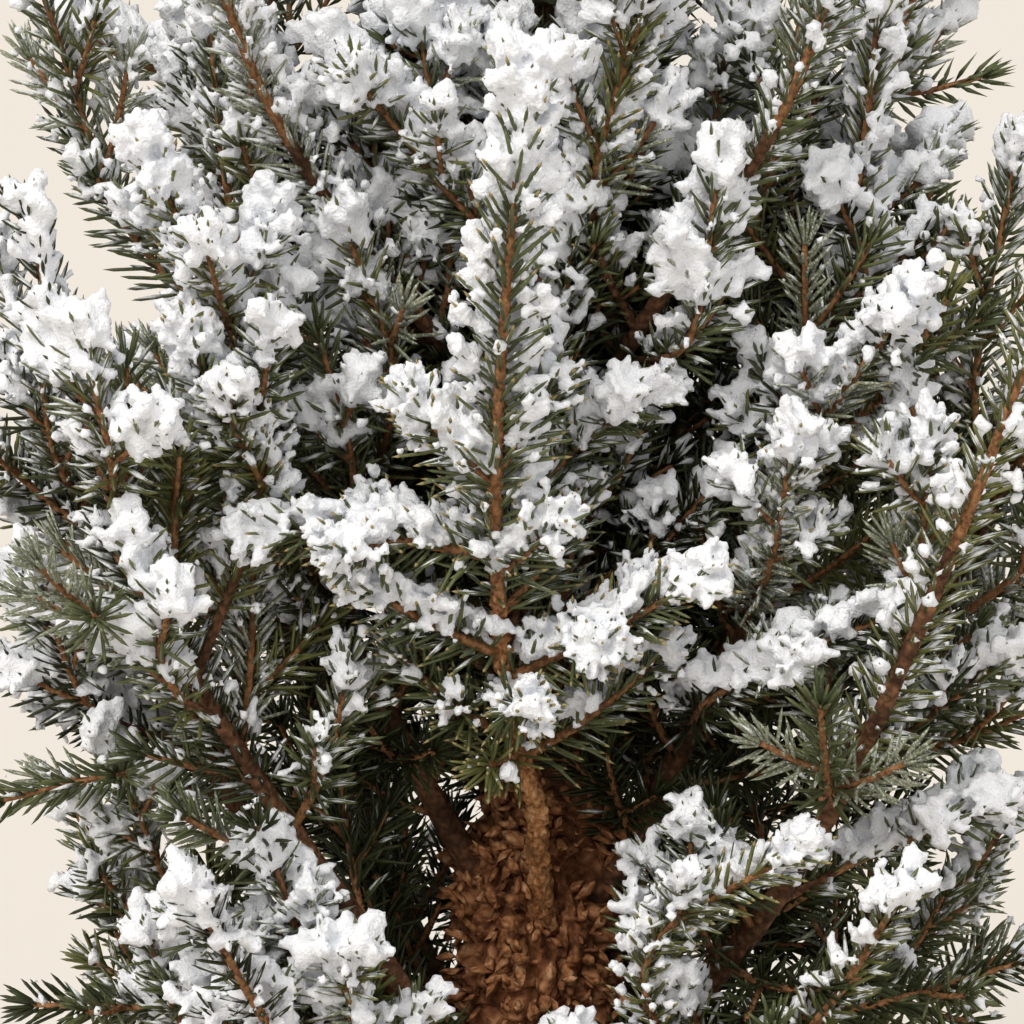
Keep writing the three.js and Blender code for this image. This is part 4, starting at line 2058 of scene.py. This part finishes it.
    def fuse(self, piece: Piece, grain: Grain, seed: int) -> None:
        """Melts a piece's clods together into lumpy drifts.

        Args:
            piece: the piece.
            grain: how fine and how lumpy the drifts are.
            seed: picks the lumps' pattern.
        """
        apply_modifier(piece, "REMESH", mode="VOXEL", voxel_size=grain.voxel * MM)
        mesh = piece.data
        co = np.zeros(len(mesh.vertices) * 3)
        normal = np.zeros(len(mesh.vertices) * 3)
        mesh.vertices.foreach_get("co", co)
        mesh.vertex_normals.foreach_get("vector", normal)
        co, normal = co.reshape(-1, 3), normal.reshape(-1, 3)
        edge, _ = cell_noise(co / (grain.lump * MM), seed)
        lumpy = grain.depth * (smooth(edge, -0.1, 0.6) - 0.6)
        grainy = self.grain_depth * lattice_noise(co / (self.grain_mm * MM), seed + 1)
        co += normal * ((lumpy + grainy) * MM)[:, None]
        mesh.vertices.foreach_set("co", co.ravel())
        mesh.update()
        apply_modifier(piece, "DECIMATE", ratio=grain.kept)
        smooth_all(piece.data)

    def dust(self, needles: NeedleSet, load: Array, detail: Detail, chance: Array, seed: int) -> Array:
        """Thin strips of powder along the upper sides of needles.

        Args:
            needles: the needles.
            load: how much snow each holds.
            detail: how fine they are.
            chance: how likely each is to be dusted.
            seed: seeds the draw.

        Returns:
            (needles, points, 3) places in metres.
        """
        rng = np.random.default_rng(seed)
        dusted = needles.only(rng.random(len(load)) < chance)
        top = unit(UP - dusted.way * dusted.way[:, 2:] + 1e-6)
        side = np.cross(dusted.way, top)
        half = NEEDLE_SHAPES[detail].half_width
        points, _ = DUST_SHAPE.template()
        wide = half * rng.uniform(0.8, 1.35, (len(top), len(points)))
        along = points[:, 2] * 0.86 + 0.1
        return dusted.placed(along, side, points[:, 1] * wide, top, half * 0.45 + points[:, 0] * wide)

    def build(self, shoots: list[Shoot], sets: list[NeedleSet]) -> None:
        """Builds and dresses the snow of every tier, each fineness apart.

        Args:
            shoots: the shoots.
            sets: the needles of each.
        """
        beds: dict[tuple[str, Detail], list[Lumps]] = {}
        strips: dict[tuple[str, Detail], list[Array]] = {}
        for shoot, needles in zip(shoots, sets):
            load = self.load(shoot, needles)
            key = (shoot.group, shoot.detail)
            bed = (shoot.label if shoot.detail is Detail.MID else shoot.group, shoot.detail)
            beds.setdefault(bed, []).extend(self.lumps(shoot, needles, load))
            chance = min(1.0, shoot.snow * 1.3) * smooth(needles.way[:, 2], -0.7, 0.3)
            chance *= 0.45 if shoot.detail is Detail.FAR else 0.85
            strip = self.dust(needles, load, shoot.detail, chance, 500 + shoot.seed)
            strips.setdefault(key, []).append(strip)
        material = SNOW.material()
        for k, ((group, detail), parts) in enumerate(beds.items()):
            lumps = Lumps.joined(parts)
            if not len(lumps.radius):
                continue
            piece = self.bed(f"snow_{group}_{detail.value}", lumps, detail, 70 + k)
            finish_piece(piece, material, foliage_nodes(group))
        material = DUST.material()
        _, faces = DUST_SHAPE.template()
        for (group, detail), parts in strips.items():
            piece = mesh_object(f"snow_dust_{group}_{detail.value}", *copies(np.concatenate(parts), faces))
            finish_piece(piece, material, foliage_nodes(group))


# Pot and compost

# The radius, in millimetres, at which the sections of turned shapes stop short of their axis
CENTRE = 0.001


@dataclass
class ClayPot:
    """A tapered clay pot with a plain band at its rim. Sizes are in millimetres."""

    height: float = 186.0
    base_radius: float = 80.0
    neck_radius: float = 106.0
    rim_radius: float = 114.0
    rim_height: float = 30.0
    lip_radius: float = 3.0
    wall: float = 8.0
    floor: float = 11.0
    sides: int = 128
    drain_count: int = 4
    drain_radius: float = 5.0
    drain_circle: float = 46.0

    def inner_radius(self, z: float) -> float:
        """The inside's radius at a height."""
        return lerp(self.base_radius, self.neck_radius, z / self.height) - self.wall

    def profile(self) -> list[tuple[float, float]]:
        """The section's outline, from the underside's centre out, up and back in to the floor's centre.

        Returns:
            Radii and heights in millimetres.
        """
        band = self.height - self.rim_height
        neck = lerp(self.base_radius, self.neck_radius, band / self.height)
        lip = self.lip_radius
        turns = [k * math.pi / 12 for k in range(7)]
        shares = [(lip * (1 - math.cos(a)), lip * (1 - math.sin(a))) for a in turns]
        mouth = self.inner_radius(self.height)
        outer = [(self.rim_radius - level, self.height - rise) for level, rise in shares]
        inner = [(mouth + rise, self.height - level) for level, rise in shares]
        foot = self.inner_radius(self.floor)
        return [
            (CENTRE, 0),
            (self.base_radius - 2.5, 0),
            (self.base_radius - 0.8, 0.8),
            (self.base_radius, 2.6),
            (neck, band - 5),
            (neck + 0.8, band - 2.2),
            (self.rim_radius - 2.6, band - 0.6),
            (self.rim_radius - 0.7, band + 1.2),
            (self.rim_radius, band + 3.4),
            *outer,
            *inner,
            (self.inner_radius(band), band),
            (foot + 1, self.floor + 5),
            (foot - 3, self.floor + 0.8),
            (foot - 8, self.floor),
            (CENTRE, self.floor),
        ]

    def build(self) -> None:
        """Spins, drills and dresses the pot."""
        bm = spun(self.profile(), self.sides)
        bmesh.ops.recalc_face_normals(bm, faces=bm.faces)
        pot = bmesh_object("clay_pot_shell", bm)
        drill = bmesh.new()
        size = {"radius1": self.drain_radius * MM, "radius2": self.drain_radius * MM, "depth": 40 * MM}
        for k in range(self.drain_count):
            hole = bmesh.ops.create_cone(drill, cap_ends=True, segments=24, **size)["verts"]
            across = Vector(out_at((k + 0.5) * 2 * math.pi / self.drain_count)) * self.drain_circle * MM
            bmesh.ops.translate(drill, verts=hole, vec=across)
        bit = bmesh_object("drain_drill", drill)
        apply_modifier(pot, "BOOLEAN", operation="DIFFERENCE", object=bit, solver="EXACT")
        bpy.data.objects.remove(bit)
        finish_piece(pot, CLAY.material(), ["clay_pot"])


@dataclass
class PottingSoil:
    """Compost that fills the pot, with an uneven crumbly top."""

    level: float = 168.0
    dip: float = 5.0
    flat_radius: float = 48.0
    foot: float = 11.3
    gap: float = 0.4
    crumb_mm: float = 9.0
    rings: int = 60
    sides: int = 180

    def build(self, pot: ClayPot) -> None:
        """Builds and dresses the compost and the crumbs on it.

        Args:
            pot: the pot that it fills.
        """
        edge = self.level - self.dip
        mouth, foot = (pot.inner_radius(z) - self.gap for z in (edge, self.foot))
        top = [(max(CENTRE, mouth * k / self.rings), self.level) for k in range(self.rings + 1)]
        bm = spun([*top, (mouth, edge - 2), (foot, self.foot), (CENTRE, self.foot)], self.sides)
        top_verts = [v for v in bm.verts if v.co.z > (self.level - 0.1) * MM]
        co = np.array([v.co for v in top_verts])
        r = np.hypot(co[:, 0], co[:, 1]) / MM
        fall = self.dip * smooth(r, self.flat_radius, pot.inner_radius(edge))
        height = 2.2 * layered_noise(co, self.crumb_mm * MM, 4, 3) - fall - 1.0
        for v, h in zip(top_verts, height):
            v.co.z += h * MM
        bmesh.ops.recalc_face_normals(bm, faces=bm.faces)
        finish_piece(bmesh_object("compost", bm), COMPOST.material(), ["potting_soil"])


# Studio


@dataclass
class Studio:
    """A wide pale floor, soft lights and the camera."""

    floor_colour: str = "#e0dbd4"
    sensor: float = 36.0
    floor_radius: float = 120.0

    def backdrop(self) -> None:
        """A plain floor, so wide that it fills the photo's view."""
        bm = bmesh.new()
        bmesh.ops.create_circle(bm, cap_ends=True, segments=96, radius=self.floor_radius)
        floor = bmesh_object("studio_floor", bm)
        board = PlainFinish("painted_studio_board", 0.9, 0.1, self.floor_colour)
        floor.data.materials.append(board.material())

    def light(self, name: str, place: Triple, spread_deg: float, strength: float, colour: str) -> None:
        """Adds one broad soft light that falls on the plant and the whole floor alike.

        Args:
            name: its name.
            place: the side that it comes from, seen from the plant.
            spread_deg: how wide it looks from the plant, in degrees.
            strength: its strength, in watts per square metre.
            colour: its sRGB hex colour.
        """
        data = bpy.data.lights.new(name, "SUN")
        data.angle, data.energy, data.color = math.radians(spread_deg), strength, linear(colour)[:3]
        lamp = link_object(name, data)
        lamp.location = place
        lamp.rotation_euler = (-Vector(place)).to_track_quat("-Z", "Y").to_euler()

    def sky(self) -> None:
        """Even pale light from all round."""
        world = bpy.data.worlds.new("studio_air")
        world.use_nodes = True
        air = next(n for n in world.node_tree.nodes if n.type == "BACKGROUND")
        air.inputs["Color"].default_value = linear("#eeebe6")
        air.inputs["Strength"].default_value = 0.75
        bpy.context.scene.world = world

    def camera(self) -> None:
        """A long lens a little above the plant, close enough that its crown fills the frame."""
        data = bpy.data.cameras.new("photo_camera")
        data.sensor_width = self.sensor
        data.lens = self.sensor * VIEW.distance / (VIEW.mm_per_pixel * VIEW.pixels)
        data.clip_start, data.clip_end = 0.05, 2 * self.floor_radius
        back = Vector((0, -math.cos(VIEW.lift), math.sin(VIEW.lift)))
        camera = link_object("photo_camera", data)
        camera.location = (Vector(VIEW.aim) + back * VIEW.distance) * MM
        camera.rotation_euler = (-back).to_track_quat("-Z", "Y").to_euler()
        bpy.context.scene.camera = camera

    def build(self) -> None:
        """Sets up the studio."""
        self.camera()
        self.backdrop()
        self.sky()
        self.light("window", (-0.9, -1.5, 1.9), 40, 2.25, "#fffaf2")
        self.light("fill", (1.6, -1.0, 1.0), 60, 0.25, "#f4f6ff")
        bpy.context.scene.view_settings.view_transform = "Standard"


def main() -> None:
    """Builds the studio, the pot and its compost, and then the plant."""
    logging.basicConfig(level=logging.INFO, format="%(name)s: %(message)s")
    Studio().build()
    pot = ClayPot()
    pot.build()
    PottingSoil().build(pot)
    Bark().build()
    crown = Crown()
    shoots = crown.build()
    needles = Needles()
    sets = [needles.around(shoot) for shoot in shoots]
    Twigs().build(shoots, "twigs", YOUNG_BARK.material())
    Twigs().build(crown.feet, "twig_feet", OLD_BARK.material())
    needles.build(shoots, sets)
    Snow().build(shoots, sets)


if __name__ == "__main__":
    main()
